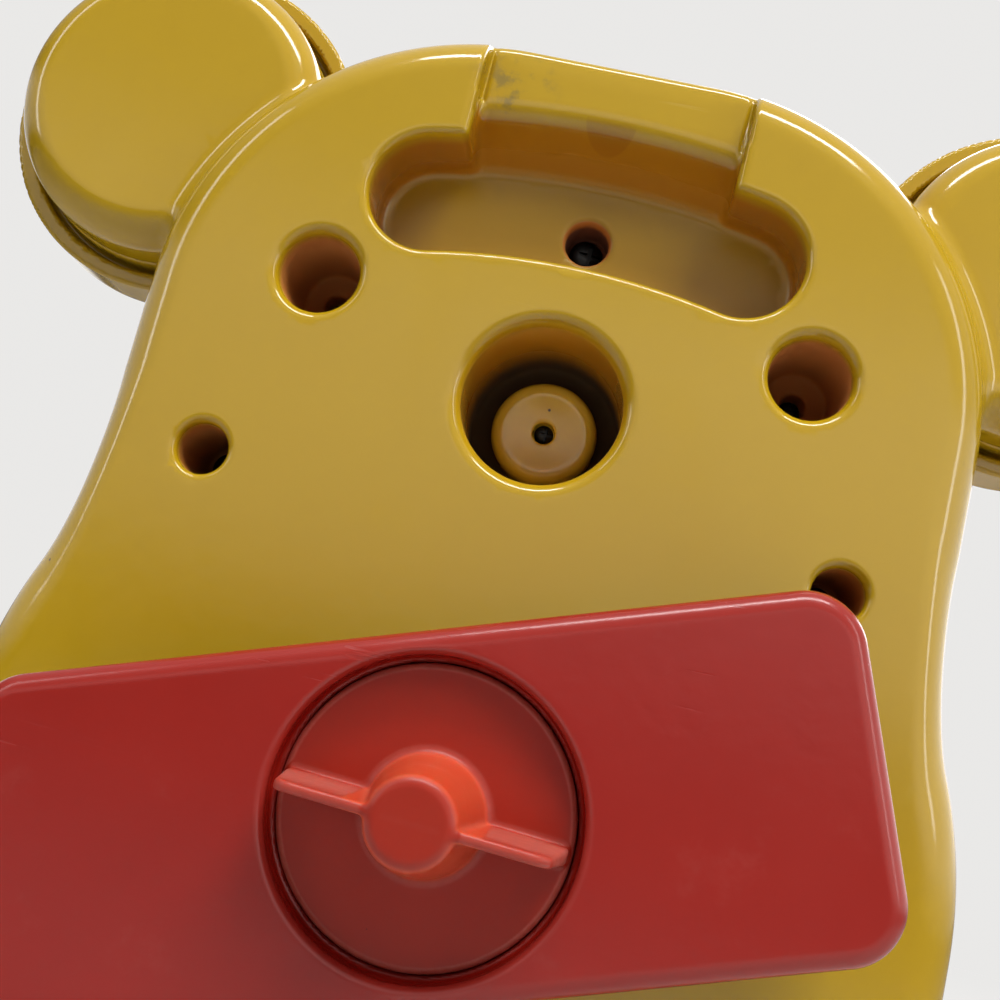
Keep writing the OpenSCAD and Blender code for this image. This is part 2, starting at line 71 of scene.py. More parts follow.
# Housing
HEAD_HALF = (72.5, 64.5)
HEAD_CORNER = 56
HEAD_V = 67.2
BODY_HALF = (82, 79)
BODY_CORNER = 77
BODY_V = -7
WAIST_FILLET = 14
EAR = (82, 111.3)
EAR_R = 28.5
EAR_CUP_R = 33.2
EAR_TOP_W = -10
EAR_EDGE = 6.5
EAR_FILLET = 5
SEAM_W = -22.5
SEAM_EDGE = 1.1
FRONT_W = -46
EAR_FRONT_W = -40
WALL = 3
BACK_EDGE = 8
FRONT_EDGE = 10
# Groove round each ear, with its inner and outer radius, and groove along the seam
GROOVE_R = (28.7, 30)
GROOVE_DEPTH = 5
GROOVE_RIM = 0.9
SEAM_GROOVE = 1.5
SEAM_GROOVE_RIM = 0.35

# Recess, wells and finger pocket
AXLE = (0, HEAD_V)
RECESS_R = 13.6
RECESS_W = -27
RECESS_RIM = 2.6
RECESS_FILLET = 1
LARGE_WELL = (42.4, 81.2)
LARGE_WELL_R = 7.1
LARGE_WELL_W = -19.4
LARGE_WELL_TAPER = 1.1 / 19.4
LARGE_WELL_RIM = 1.9
LARGE_WELL_FILLET = 0.8
SINK_R = 2.3
SINK_W = LARGE_WELL_W - 5
SMALL_WELLS = ((53.5, 47), (53.5, -50))
SMALL_WELL_R = 4.4
SMALL_WELL_W = -21
SMALL_WELL_RIM = 1.3
BOSS_WALL = 2.5
BOSS_END_W = -28
BORE_RIM = 0.4
SCREW_BORE_R = 1.5
SCREW_BORE_END_W = -40
FRONT_BOSS_R = 4.5
POCKET_ARC_V = -34.3
POCKET_MID_R = 136.5
POCKET_HALF_W = 10.5
POCKET_HALF_L = 38
POCKET_W = -16
POCKET_FILLET = 1.8
POCKET_RIM = 1.5
POCKET_HOLE = (0, 102)
POCKET_HOLE_R = 4
POCKET_HOLE_W = POCKET_W - 8
POCKET_HOLE_RIM = 1.1
NOTCH_HALF_W = 23.5
NOTCH_TOP_V = 120.2
NOTCH_EDGE = 0.9
NOTCH_CORNER = 1.8
LIP_W = -5
LIP_LOW_V = 116
LIP_EDGE = 2.4
LIP_GROOVE_HALF = 0.25
LIP_GROOVE_DEPTH = 1
LIP_GROOVE_FILLET = 0.2
LIP_GROOVE_RIM = 1
LIP_SMUDGE = (18, 124)
LIP_SMUDGE_R = 9
PIN_MARK = (0, 121)
PIN_MARK_R = 4.7
WELLS = ((LARGE_WELL, LARGE_WELL_R), (POCKET_HOLE, POCKET_HOLE_R),
         *((well, SMALL_WELL_R) for well in SMALL_WELLS))
# Zone of the pocket: its reach from the arc's centre, and from a point in its middle
POCKET_ZONE_R = (125, 155)
POCKET_ZONE_MIDDLE = (0, 105)
POCKET_ZONE_HALF = 41

# Slat clamp. Pairs of a radius, half length or half thickness are at the foot and at the top.
CLAMP = (0, 0)
RUNNING_GAP = 0.06
BAR_HALF = (63, 25.2)
BAR_CORNER = 8.5
BAR_LOW_W = 11.5
BAR_TOP_W = 29.5
BAR_EDGE = 3
BAR_WALL = 2.5
BAR_TURN = math.radians(19.5)
BUSH_R = 10
BUSH_LOW_W = 15
BAR_RIBS_U = 40
BAR_RIB_HALF = 1
CROSS_RIB_LOW_W = BAR_LOW_W + 2
LONG_RIB_LOW_W = BUSH_LOW_W + 1
KNOB_RECESS_R = 21.05
KNOB_LEDGE_R = 21.9
KNOB_LEDGE_W = 24.9
KNOB_LEDGE_RIM = 1
KNOB_FLOOR_W = 20.5
STUD_R = 6
STUD_W = (-17, 35.8)
STUD_CHAMFER = 1.2
STUD_HOLE_GAP = 0.4
THREAD_PITCH = 4
THREAD_DEPTH = 0.8
THREAD_END_W = BUSH_LOW_W - 3
THREAD_RUN_OUT = 2
NUT_R = 10.5
HEX_FLAT = math.sqrt(0.75)
NUT_BOSS_R = 13.5
NUT_BOSS_W = -20
KNOB_R = 20.9
DISC_W = (21.6, 25.8)
DISC_EDGE = 0.9
HUB_FOOT_W = DISC_W[0] + 1
HUB_R = (8.4, 5.9)
HUB_TOP_W = 44.6
HUB_EDGE = 1.5
HUB_FILLET = 1.1
WING_TURN = math.radians(-2)
WING_TOP_W = 43.8
WING_HALF_L = (20.1, 17.9)
WING_HALF_T = (1.2, 0.7)
WING_STRAIGHT_SHARE = 0.1
WING_CORNER = 2.2

# Spinner, inlays and squeak button
DIAL_W = (-57, -48)
PETALS = 6
PETAL_RING_R = 23
PETAL_R = 13
PETAL_FILLET = 2.5
DIAL_CORE_R = 18
DIAL_CORE_FILLET = 1
DIAL_FRONT_EDGE = 3.4
DIMPLE_RING_R = PETAL_RING_R + 1
DIMPLE_BALL_R = 15
DIMPLE_DEPTH = 1.5
STEM_R = 6
STEM_LOW_W = DIAL_W[0] + 2
STEM_FILLET = 0.8
STEM_BORE_R = 1.4
STEM_BORE_DEPTH = 14
CAP_R = 9.7
CAP_W = (-26.6, -21)
CAP_EDGE = 3
CAP_DISH_R = 26
CAP_DISH_DEPTH = 0.7
CAP_DISH_RIM = 2.5
CAP_HOLE_R = 2
CAP_HOLE_RIM = 0.45
CAP_SEAT_W = CAP_W[0] + 2.2
INLAY = (85.5, 113.3)
INLAY_R = 16
INLAY_W = (-42.5, -40)
INLAY_EDGE = 1.5
INLAY_DISH_R = 70
INLAY_DISH_DEPTH = 1
BUTTON = (0, -34)
BUTTON_BORE_R = 17.4
POST_R = 9
POST_W = -20
BUSH_BORE_R = 9
LEAF_POST = (18.2, 87.2)
LEAF_POST_R = 4
LEAF_POST_W = -34.8
LEAF_BORE_R = 1.3
LEAF_BORE_DEPTH = 5.2
BELLOWS_W = (-39.6, -22)
# Radius in the bellows' folds and on them
BELLOWS_R = (8.5, 12.5)
BELLOWS_FOLDS = 4
BELLOWS_SKIN = 1.2

# Meshing. Unseen faces lie deeper than a margin in a hollow, away from what opens in the back,
# and a share of them is kept. The slope is taken over a share of a step, and the bend over a length.
UNSEEN_MARGIN = 0.2
SEEN_MARGIN = 1
UNSEEN_KEPT = 0.12
MOVES_ONTO_SURFACE = 3
SLOPE_REACH_SHARE = 1 / 8
NORMAL_REACH_SHARE = 0.75
BEND_REACH = 0.8

# Camera at the photograph's place: its position in metres and the direction of its axes
CAMERA_PLACE = (-0.01646, 0.20834, 0.01396)
CAMERA_RIGHT = (-0.9706, -0.0493, 0.2356)
CAMERA_UP = (0.2230, 0.1842, 0.9572)
CAMERA_LENS = 46.8
CAMERA_SENSOR = 36
CAMERA_NEAREST = 0.005

# Strength of the sky: as light, as the camera sees it, as gloss mirrors it away from and towards
# its bright side, and of a soft band above the horizon that gloss mirrors too
WORLD_LIGHT = 0.11
PALE_SKY = 0.82
MIRRORED_SKY = (0.05, 0.8)
BRIGHT_SIDE = (-0.55, 0, 0.83)
BAND_LIGHT = 0.95
BAND_RISE = (0.0, 0.12)
BAND_FALL = (0.42, 0.28)
MIRRORED_RANGE = (-0.18, 0.42)
SKY_COLOUR = (1.0, 0.99, 0.975, 1)

# The floor fades into the sky between two distances, in metres, and gloss mirrors it weaker
FLOOR_HALF = 3.0
FLOOR_FADE = (0.25, 1.0)
FLOOR_IN_GLOSS = 0.4
TOY_MIDDLE = (0, 0, 0.04)

# Colours: the yellow and red plastics, then marks, smudges, dust and wear on them, and painted shade and
# painted light
LIGHT_YELLOW = (0.44, 0.278, 0.008)
DEEP_YELLOW = (0.40, 0.245, 0.005)
# Painted shade and bounce light: the pocket's floor darker and its walls redder than the yellow
POCKET_FLOOR_SHADE = (0.35, 0.200, 0.005)
POCKET_WALL_SHADE = (0.36, 0.150, 0.006)
# Painted shade: the wells' floors and walls browner and darker than the yellow
WELL_FLOOR_SHADE = (0.44, 0.185, 0.050)
WELL_WALL_SHADE = (0.44, 0.170, 0.034)
# Painted shade in the pocket's screw hole
POCKET_HOLE_SHADE = (0.15, 0.050, 0.024)
# Painted orange glow on the recess's wall below its rim
RECESS_WALL_GLOW = (0.55, 0.28, 0.02)
# Tone that the recess goes to deep down, nearly black
RECESS_DEEP_TONE = (0.030, 0.016, 0.009)
PIN_MARK_TONE = (0.20, 0.060, 0.004)
SMUDGE_TONE = (0.10, 0.09, 0.05)
SCRATCH_TONE = (0.62, 0.50, 0.22)
DUST_TONE = (0.10, 0.055, 0.02)
BAR_SPECK_TONE = (0.03, 0.006, 0.006)
# Paler tone for scuffs, scratches and edges; on the edges it is partly wear and partly a painted sheen
BAR_PALE = (0.46, 0.12, 0.10)
# Painted glow on the hub's side
HUB_SIDE_GLOW = (0.52, 0.058, 0.020)
KNOB_SPECK_TONE = (0.02, 0.004, 0.004)
# Paler tone for the knob's bloom, its painted highlight on the disc's rim and its painted sheen on the wings
KNOB_PALE = (0.62, 0.24, 0.19)


# Distance fields: negative inside, in millimetres

# Both forms, and what two forms share, with a sharp edge where they meet
either = np.minimum
shared = np.maximum


def corner(a, b):
    """Distance past a corner, from the distances past its two sides."""
    return np.hypot(np.maximum(a, 0), np.maximum(b, 0))


def join(a, b, radius):
    """Both forms, with a fillet where they meet."""
    return np.maximum(radius, np.minimum(a, b)) - corner(radius - a, radius - b)


def meet(a, b, radius):
    """What two forms share, with a rounded edge."""
    return np.minimum(-radius, np.maximum(a, b)) + corner(radius + a, radius + b)


def cut(a, b, radius):
    """The first form without the second, with a rounded rim."""
    return meet(a, -b, radius)


def disc(u, v, centre, radius):
    """Upright cylinder about a point in plan."""
    return np.hypot(u - centre[0], v - centre[1]) - radius


def round_rect(u, v, half, radius):
    """Rectangle with round corners, given by its half sizes."""
    over_u = np.abs(u) - half[0] + radius
    over_v = np.abs(v) - half[1] + radius
    return corner(over_u, over_v) + np.minimum(np.maximum(over_u, over_v), 0) - radius


def turned_back(u, v, angle):
    """Plan places seen in a frame that is turned by an angle."""
    return u * math.cos(angle) + v * math.sin(angle), v * math.cos(angle) - u * math.sin(angle)


def torso_outline(u, v):
    """Head and body in plan, without the ears."""
    head = round_rect(u, v - HEAD_V, HEAD_HALF, HEAD_CORNER)
    body = round_rect(u, v - BODY_V, BODY_HALF, BODY_CORNER)
    return join(head, body, WAIST_FILLET)


def pocket_outline(u, v, grow):
    """Kidney outline that follows an arc and has round ends."""
    half_sweep = math.asin((POCKET_HALF_L - POCKET_HALF_W) / POCKET_MID_R)
    along = np.arctan2(abs(u), v - POCKET_ARC_V)
    on_arc = abs(np.hypot(u, v - POCKET_ARC_V) - POCKET_MID_R)
    end = (POCKET_MID_R * math.sin(half_sweep), POCKET_ARC_V + POCKET_MID_R * math.cos(half_sweep))
    past_end = np.hypot(abs(u) - end[0], v - end[1])
    return np.where(along < half_sweep, on_arc, past_end) - POCKET_HALF_W - grow


def notch_space(u, v, w):
    """The notch over the pocket: a curved wall that leans out, then the lowered lip."""
    foot = (POCKET_MID_R + POCKET_HALF_W, POCKET_W)
    edge = (NOTCH_TOP_V - POCKET_ARC_V, LIP_W)
    run, rise = edge[0] - foot[0], edge[1] - foot[1]
    beyond_foot = np.hypot(u, v - POCKET_ARC_V) - foot[0]
    past_wall = (beyond_foot * rise - (w - foot[1]) * run) / math.hypot(run, rise)
    past_wall = shared(past_wall, POCKET_ARC_V + POCKET_MID_R - v)
    over_lip = shared(LIP_W - w, LIP_LOW_V - v)
    return meet(abs(u) - NOTCH_HALF_W, join(past_wall, over_lip, LIP_EDGE), NOTCH_CORNER)


def pocket_space(u, v, w):
    """The open space of the finger pocket and its notch."""
    pocket = join(pocket_outline(u, v, 0), notch_space(u, v, w), NOTCH_EDGE)
    return meet(pocket, POCKET_W - w, POCKET_FILLET)


def back_bosses(u, v, w):
    """Tubes, bosses and pocket walls under the back."""
    side = abs(u)
    walls = shared(side - NOTCH_HALF_W - WALL, POCKET_ARC_V + POCKET_MID_R - v)
    bosses = shared(either(pocket_outline(u, v, WALL), walls), POCKET_W - WALL - w)
    tubes = [(AXLE, RECESS_R + BOSS_WALL, RECESS_W - WALL),
             (LARGE_WELL, LARGE_WELL_R + BOSS_WALL, BOSS_END_W),
             (POCKET_HOLE, POCKET_HOLE_R + BOSS_WALL, BOSS_END_W),
             (CLAMP, NUT_BOSS_R, NUT_BOSS_W),
             (BUTTON, POST_R, POST_W)]
    tubes += [(well, SMALL_WELL_R + BOSS_WALL, BOSS_END_W) for well in SMALL_WELLS]
    for centre, radius, end in tubes:
        bosses = either(bosses, shared(disc(side, v, centre, radius), end - w))
    return bosses


def back_cavity(u, v, w):
    """The hollow under the back."""
    head_and_body = meet(torso_outline(u, v) + WALL, w + WALL, BACK_EDGE - WALL)
    ears = meet(disc(abs(u), v, EAR, EAR_R - WALL), w - EAR_TOP_W + WALL, EAR_EDGE - WALL)
    return either(head_and_body, ears)


def back_unseen(u, v, w):
    """Negative in the hollow, away from the wells and the pocket that open in the back."""
    side = abs(u)
    seen = disc(side, v, AXLE, RECESS_R + SEEN_MARGIN)
    seen = either(seen, disc(side, v, LARGE_WELL, LARGE_WELL_R + SEEN_MARGIN))
    for well in SMALL_WELLS:
        seen = either(seen, disc(side, v, well, SMALL_WELL_R + SEEN_MARGIN))
    seen = either(seen, shared(pocket_space(u, v, w) - SEEN_MARGIN, POCKET_HOLE_W - w))
    return shared(back_cavity(u, v, w) - UNSEEN_MARGIN, -seen)


def back_shell_field(u, v, w):
    """Rear half of the housing, with every recess that opens in the back."""
    side = abs(u)
    torso = torso_outline(u, v)
    ear = disc(side, v, EAR, EAR_R)
    outside = join(meet(torso, w, BACK_EDGE), meet(ear, w - EAR_TOP_W, EAR_EDGE), EAR_FILLET)
    inside = back_cavity(u, v, w)
    bosses = back_bosses(u, v, w)
    shell = shared(outside, either(-inside, bosses))
    shell = shared(shell, either(SEAM_W - w, bosses))
    recess = meet(disc(side, v, AXLE, RECESS_R), RECESS_W - w, RECESS_FILLET)
    shell = cut(shell, recess, RECESS_RIM)
    shell = shared(shell, -disc(side, v, AXLE, STEM_R + RUNNING_GAP))
    well_r = LARGE_WELL_R + LARGE_WELL_TAPER * np.minimum(w, 0)
    well = meet(disc(side, v, LARGE_WELL, 0) - well_r, LARGE_WELL_W - w, LARGE_WELL_FILLET)
    shell = cut(shell, well, LARGE_WELL_RIM)
    shell = cut(shell, shared(disc(side, v, LARGE_WELL, SINK_R), SINK_W - w), BORE_RIM)
    for place in SMALL_WELLS:
        well = meet(disc(side, v, place, SMALL_WELL_R), SMALL_WELL_W - w, SOFT_ROUND)
        shell = cut(shell, well, SMALL_WELL_RIM)
    lowered = shared(shell, meet(torso, w - LIP_W, LIP_EDGE))
    shell = np.where((side < NOTCH_HALF_W) & (v > LIP_LOW_V), lowered, shell)
    shell = cut(shell, pocket_space(u, v, w), POCKET_RIM)
    groove = shared(abs(side - NOTCH_HALF_W) - LIP_GROOVE_HALF, NOTCH_TOP_V - v)
    groove = meet(groove, LIP_W - LIP_GROOVE_DEPTH - w, LIP_GROOVE_FILLET)
    shell = cut(shell, groove, LIP_GROOVE_RIM)
    hole = shared(disc(side, v, POCKET_HOLE, POCKET_HOLE_R), POCKET_HOLE_W - w)
    shell = cut(shell, hole, POCKET_HOLE_RIM)
    for place, _ in WELLS:
        shell = shared(shell, -disc(side, v, place, SCREW_BORE_R))
    shell = cut(shell, disc(side, v, CLAMP, STUD_R + STUD_HOLE_GAP), SMALL_ROUND)
    hexagon = shared(abs(v), abs(v) / 2 + side * HEX_FLAT) - NUT_R * HEX_FLAT
    return shared(shell, -shared(hexagon, w + WALL))


def front_cavity(u, v, w):
    """The hollow behind the front."""
    head_and_body = meet(torso_outline(u, v) + WALL, FRONT_W + WALL - w, FRONT_EDGE - WALL)
    ears = shared(disc(abs(u), v, EAR, EAR_R - WALL), EAR_FRONT_W + WALL - w)
    return either(head_and_body, ears)


def front_unseen(u, v, w):
    """Negative in the hollow of the front shell."""
    return front_cavity(u, v, w) - UNSEEN_MARGIN


def front_shell_field(u, v, w):
    """Front half of the housing, with the ear cups, the bearing hole and the button hole."""
    side = abs(u)
    torso = torso_outline(u, v)
    cup = disc(side, v, EAR, EAR_CUP_R)
    outside = join(meet(torso, FRONT_W - w, FRONT_EDGE), meet(cup, EAR_FRONT_W - w, EAR_EDGE), EAR_FILLET)
    inside = front_cavity(u, v, w)
    bosses = shared(disc(u, v, POCKET_HOLE, FRONT_BOSS_R), w - BOSS_END_W)
    for place in (LARGE_WELL, *SMALL_WELLS):
        bosses = either(bosses, shared(disc(side, v, place, FRONT_BOSS_R), w - BOSS_END_W))
    leaf_post = shared(disc(u, v, LEAF_POST, LEAF_POST_R), w - LEAF_POST_W)
    leaf_bore = shared(disc(u, v, LEAF_POST, LEAF_BORE_R), LEAF_POST_W - LEAF_BORE_DEPTH - w)
    bosses = either(bosses, shared(leaf_post, -leaf_bore))
    shell = shared(meet(outside, w - SEAM_W, SEAM_EDGE), either(-inside, bosses))
    ring = shared(disc(side, v, EAR, GROOVE_R[1]), -disc(side, v, EAR, GROOVE_R[0]))
    shell = cut(shell, meet(ring, SEAM_W - GROOVE_DEPTH - w, SMALL_ROUND), GROOVE_RIM)
    rebate = shared(-SEAM_GROOVE - torso, SEAM_W - SEAM_GROOVE - w)
    rebate = shared(rebate, -disc(side, v, EAR, GROOVE_R[1]))
    shell = cut(shell, rebate, SEAM_GROOVE_RIM)
    for place, _ in WELLS:
        shell = shared(shell, -shared(disc(side, v, place, SCREW_BORE_R), SCREW_BORE_END_W - w))
    shell = cut(shell, disc(u, v, AXLE, BUSH_BORE_R), BORE_RIM)
    return cut(shell, disc(u, v, BUTTON, BUTTON_BORE_R), BORE_RIM)


def clamp_bar_field(u, v, w):
    """Hollow bar with a round recess for the knob."""
    along, across = turned_back(u, v, BAR_TURN)
    plan = round_rect(along, across, BAR_HALF, BAR_CORNER)
    outside = meet(meet(plan, w - BAR_TOP_W, BAR_EDGE), BAR_LOW_W - w, SOFT_ROUND)
    inside = meet(plan + BAR_WALL, w - BAR_TOP_W + BAR_WALL, BROAD_ROUND)
    fill = shared(disc(u, v, CLAMP, KNOB_RECESS_R + BAR_WALL), KNOB_FLOOR_W - BAR_WALL - w)
    fill = either(fill, shared(disc(u, v, CLAMP, BUSH_R), BUSH_LOW_W - w))
    cross_ribs = shared(abs(abs(along) - BAR_RIBS_U) - BAR_RIB_HALF, CROSS_RIB_LOW_W - w)
    long_rib = shared(abs(across) - BAR_RIB_HALF, LONG_RIB_LOW_W - w)
    fill = either(fill, either(cross_ribs, long_rib))
    bar = shared(outside, either(-inside, fill))
    ledge = meet(disc(u, v, CLAMP, KNOB_LEDGE_R), KNOB_LEDGE_W - w, SMALL_ROUND)
    recess = meet(disc(u, v, CLAMP, KNOB_RECESS_R), KNOB_FLOOR_W - w, SOFT_ROUND)
    bar = cut(cut(bar, ledge, KNOB_LEDGE_RIM), recess, FINE_ROUND)
    return shared(bar, -disc(u, v, CLAMP, STUD_R + RUNNING_GAP))


def bar_unseen(u, v, w):
    """Negative in the hollow under the bar."""
    along, across = turned_back(u, v, BAR_TURN)
    plan = round_rect(along, across, BAR_HALF, BAR_CORNER)
    hollow = shared(plan + BAR_WALL, w - BAR_TOP_W + BAR_WALL)
    return shared(hollow - UNSEEN_MARGIN, w - KNOB_FLOOR_W + BAR_WALL - UNSEEN_MARGIN)


def wing_knob_field(u, v, w):
    """Disc with a tapered hub and two thin wings."""
    along, across = turned_back(u, v, WING_TURN)
    radius = np.hypot(along, across)
    plate = meet(meet(radius - KNOB_R, w - DISC_W[1], DISC_EDGE), DISC_W[0] - w, SMALL_ROUND)
    rise = (w - DISC_W[1]) / (HUB_TOP_W - DISC_W[1])
    hub_r = HUB_R[0] + (HUB_R[1] - HUB_R[0]) * rise
    hub = meet(radius - hub_r, w - HUB_TOP_W, HUB_EDGE)
    hub = shared(hub, HUB_FOOT_W - w)
    half_t = WING_HALF_T[0] + (WING_HALF_T[1] - WING_HALF_T[0]) * np.clip(rise, 0, 1)
    taper = np.clip(rise - WING_STRAIGHT_SHARE, 0, 1) / (1 - WING_STRAIGHT_SHARE)
    half_l = WING_HALF_L[0] + (WING_HALF_L[1] - WING_HALF_L[0]) * taper
    wing = meet(abs(along) - half_l, w - WING_TOP_W, WING_CORNER)
    wing = meet(wing, abs(across) - half_t, SOFT_ROUND)
    wing = shared(wing, HUB_FOOT_W - w)
    knob = join(join(plate, hub, HUB_FILLET), wing, SOFT_ROUND)
    return shared(knob, -shared(radius - STUD_R, w - STUD_W[1]))


def spinner_dial_field(u, v, w):
    """Ring of round petals about a core, with a finger dimple in each petal, and the stem."""
    radius = disc(u, v, AXLE, 0)
    sector = 2 * math.pi / PETALS
    angle = np.arctan2(v - AXLE[1], u - AXLE[0]) - math.pi / 2
    angle = abs((angle + sector / 2) % sector - sector / 2)
    out, across = radius * np.cos(angle), radius * np.sin(angle)
    petal = np.hypot(out - PETAL_RING_R, across) - PETAL_R
    next_out, next_across = PETAL_RING_R * math.cos(sector), PETAL_RING_R * math.sin(sector)
    next_petal = np.hypot(out - next_out, across - next_across) - PETAL_R
    outline = join(join(petal, next_petal, PETAL_FILLET), radius - DIAL_CORE_R, DIAL_CORE_FILLET)
    dial = meet(meet(outline, DIAL_W[0] - w, DIAL_FRONT_EDGE), w - DIAL_W[1], BROAD_ROUND)
    over_ball = w - DIAL_W[0] + DIMPLE_BALL_R - DIMPLE_DEPTH
    dimple = np.sqrt((out - DIMPLE_RING_R) ** 2 + across ** 2 + over_ball ** 2) - DIMPLE_BALL_R
    dial = cut(dial, dimple, BROAD_ROUND)
    stem = shared(radius - STEM_R, shared(w - CAP_W[0], STEM_LOW_W - w))
    dial = join(dial, stem, STEM_FILLET)
    return shared(dial, -shared(radius - STEM_BORE_R, CAP_W[0] - STEM_BORE_DEPTH - w))


def axle_cap_field(u, v, w):
    """Round-edged end of the spinner's axle, with a shallow dish and a centre hole."""
    radius = disc(u, v, AXLE, 0)
    cap = meet(meet(radius - CAP_R, w - CAP_W[1], CAP_EDGE), CAP_W[0] - w, FINE_ROUND)
    under_ball = w - CAP_W[1] - CAP_DISH_R + CAP_DISH_DEPTH
    cap = cut(cap, np.hypot(radius, under_ball) - CAP_DISH_R, CAP_DISH_RIM)
    cap = cut(cap, shared(radius - CAP_HOLE_R, CAP_SEAT_W - w), CAP_HOLE_RIM)
    return shared(cap, SCREW_BORE_R - radius)


def ear_inlay_field(u, v, w):
    """Both ears' inlays: discs with a round edge and a shallow dish."""
    radius = disc(abs(u), v, INLAY, 0)
    plate = meet(meet(radius - INLAY_R, INLAY_W[0] - w, INLAY_EDGE), w - INLAY_W[1], FINE_ROUND)
    over_ball = w - INLAY_W[0] + INLAY_DISH_R - INLAY_DISH_DEPTH
    return cut(plate, np.hypot(radius, over_ball) - INLAY_DISH_R, BROAD_ROUND)


# Meshes

def sampled(field, plan):
    """A field's value at places in plan."""
    return field(plan[:, 0], plan[:, 1], plan[:, 2])


def slope_and_bend(field, plan, reach):
    """Gradient of a field at places in plan, and how sharply the form bends there."""
    middle = sampled(field, plan)
    gradient = np.empty_like(plan)
    bend = np.zeros(len(plan))
    for axis in range(3):
        shift = np.zeros(3)
        shift[axis] = reach
        ahead, behind = sampled(field, plan + shift), sampled(field, plan - shift)
        gradient[:, axis] = (ahead - behind) / (2 * reach)
        bend += (ahead + behind - 2 * middle) / reach ** 2
    return middle, gradient, bend


def placed(plan):
    """Plan places in millimetres as places in the frame, in metres."""
    return np.stack([-plan[:, 0], plan[:, 2], plan[:, 1]], axis=1) * MM


def planned(places):
    """Places in the frame, in metres, as plan places in millimetres."""
    return np.stack([-places[:, 0], places[:, 2], places[:, 1]], axis=1) / MM


def linked(name, data):
    """New object in the scene."""
    made = bpy.data.objects.new(name, data)
    bpy.context.scene.collection.objects.link(made)
    return made


def shown(name, mesh, material):
    """Puts a mesh into the scene as an object with one material."""
    mesh.materials.clear()
    mesh.materials.append(material)
    return linked(name, mesh)


def applied(holder, name):
    """An object's mesh with its modifier applied; the object itself is removed."""
    whole = holder.evaluated_get(bpy.context.evaluated_depsgraph_get())
    mesh = bpy.data.meshes.new_from_object(whole)
    mesh.name = name
    bpy.data.objects.remove(holder)
    return mesh


def meshed(field, low, high, step, adaptivity):
    """Points and faces of a field's surface, in plan."""
    low = np.array(low, float)
    counts = np.ceil((np.array(high) - low) / step).astype(int) + 1
    u, v, w = (low[axis] + step * np.arange(counts[axis]) for axis in range(3))
    values = np.empty(counts, np.float32)
    rows_at_once = 24
    for start in range(0, counts[0], rows_at_once):
        rows = slice(start, start + rows_at_once)
        values[rows] = field(u[rows, None, None], v[None, :, None], w[None, None, :])
    band = 3 * step
    grid = openvdb.FloatGrid(band)
    grid.copyFromArray(np.clip(values, -band, band))
    points, triangles, quads = grid.convertToPolygons(isovalue=0.0, adaptivity=adaptivity)
    return low + step * np.asarray(points, float), [*quads.tolist(), *triangles.tolist()]


def thinned(mesh, hidden, keep):
    """Thins the faces of hidden points and leaves the others as they are."""
    holder = linked(mesh.name, mesh)
    group = holder.vertex_groups.new(name="unseen")
    group.add(np.flatnonzero(hidden).tolist(), 1.0, "REPLACE")
    modifier = holder.modifiers.new("thin", "DECIMATE")
    modifier.ratio = 1 - hidden.mean() * (1 - keep)
    modifier.vertex_group = group.name
    modifier.vertex_group_factor = 1
    return applied(holder, mesh.name)


def sculpted(name, field, low, high, step, material, adaptivity=0.0, unseen=None):
    """Meshes the surface of a field, moves each point onto it and keeps its true normals."""
    plan, faces = meshed(field, low, high, step, adaptivity)
    mesh = bpy.data.meshes.new(name)
    mesh.from_pydata(placed(plan), [], faces)
    mesh.validate()
    if unseen:
        mesh = thinned(mesh, sampled(unseen, plan) < 0, UNSEEN_KEPT)
    places = np.empty(3 * len(mesh.vertices), np.float32)
    mesh.vertices.foreach_get("co", places)
    plan = planned(places.reshape(-1, 3).astype(float))
    for _ in range(MOVES_ONTO_SURFACE):
        value, gradient, _ = slope_and_bend(field, plan, SLOPE_REACH_SHARE * step)
        stride = np.clip(value / np.maximum((gradient ** 2).sum(1), 0.1), -step / 2, step / 2)
        plan -= stride[:, None] * gradient
    mesh.vertices.foreach_set("co", placed(plan).astype(np.float32).ravel())
    _, gradient, _ = slope_and_bend(field, plan, NORMAL_REACH_SHARE * step)
    _, _, bend = slope_and_bend(field, plan, BEND_REACH)
    edge = mesh.attributes.new("edge", "FLOAT", "POINT")
    edge.data.foreach_set("value", np.clip(bend, -1, 1).astype(np.float32))
    length = np.maximum(np.linalg.norm(gradient, axis=1), 1e-6)
    normals = placed(gradient / length[:, None]) / MM
    mesh.update()
    some_faces = mesh.polygons[:500]
    outward = sum(face.normal.dot(normals[face.vertices[0]]) for face in some_faces)
    if outward < 0:
        mesh.flip_normals()
    mesh.shade_smooth()
    mesh.normals_split_custom_set_from_vertices(normals)
    return shown(name, mesh, material)


def turned_skin(name, plan, sharp_angle, material):
    """Closed skin over rows of points in plan, each a ring; bends over an angle in degrees are sharp."""
    rows, around = plan.shape[:2]
    ring = np.arange(around)
    ahead = (ring + 1) % around
    quads = [np.stack([row * around + ring, row * around + ahead,
                       (row + 1) * around + ahead, (row + 1) * around + ring], axis=1)
             for row in range(rows - 1)]
    ends = [ring[::-1].tolist(), ((rows - 1) * around + ring).tolist()]
    mesh = bpy.data.meshes.new(name)
    mesh.from_pydata(placed(plan.reshape(-1, 3)), [], [*np.concatenate(quads).tolist(), *ends])
    mesh.shade_smooth()
    mesh.set_sharp_from_angle(angle=math.radians(sharp_angle))
    return shown(name, mesh, material)


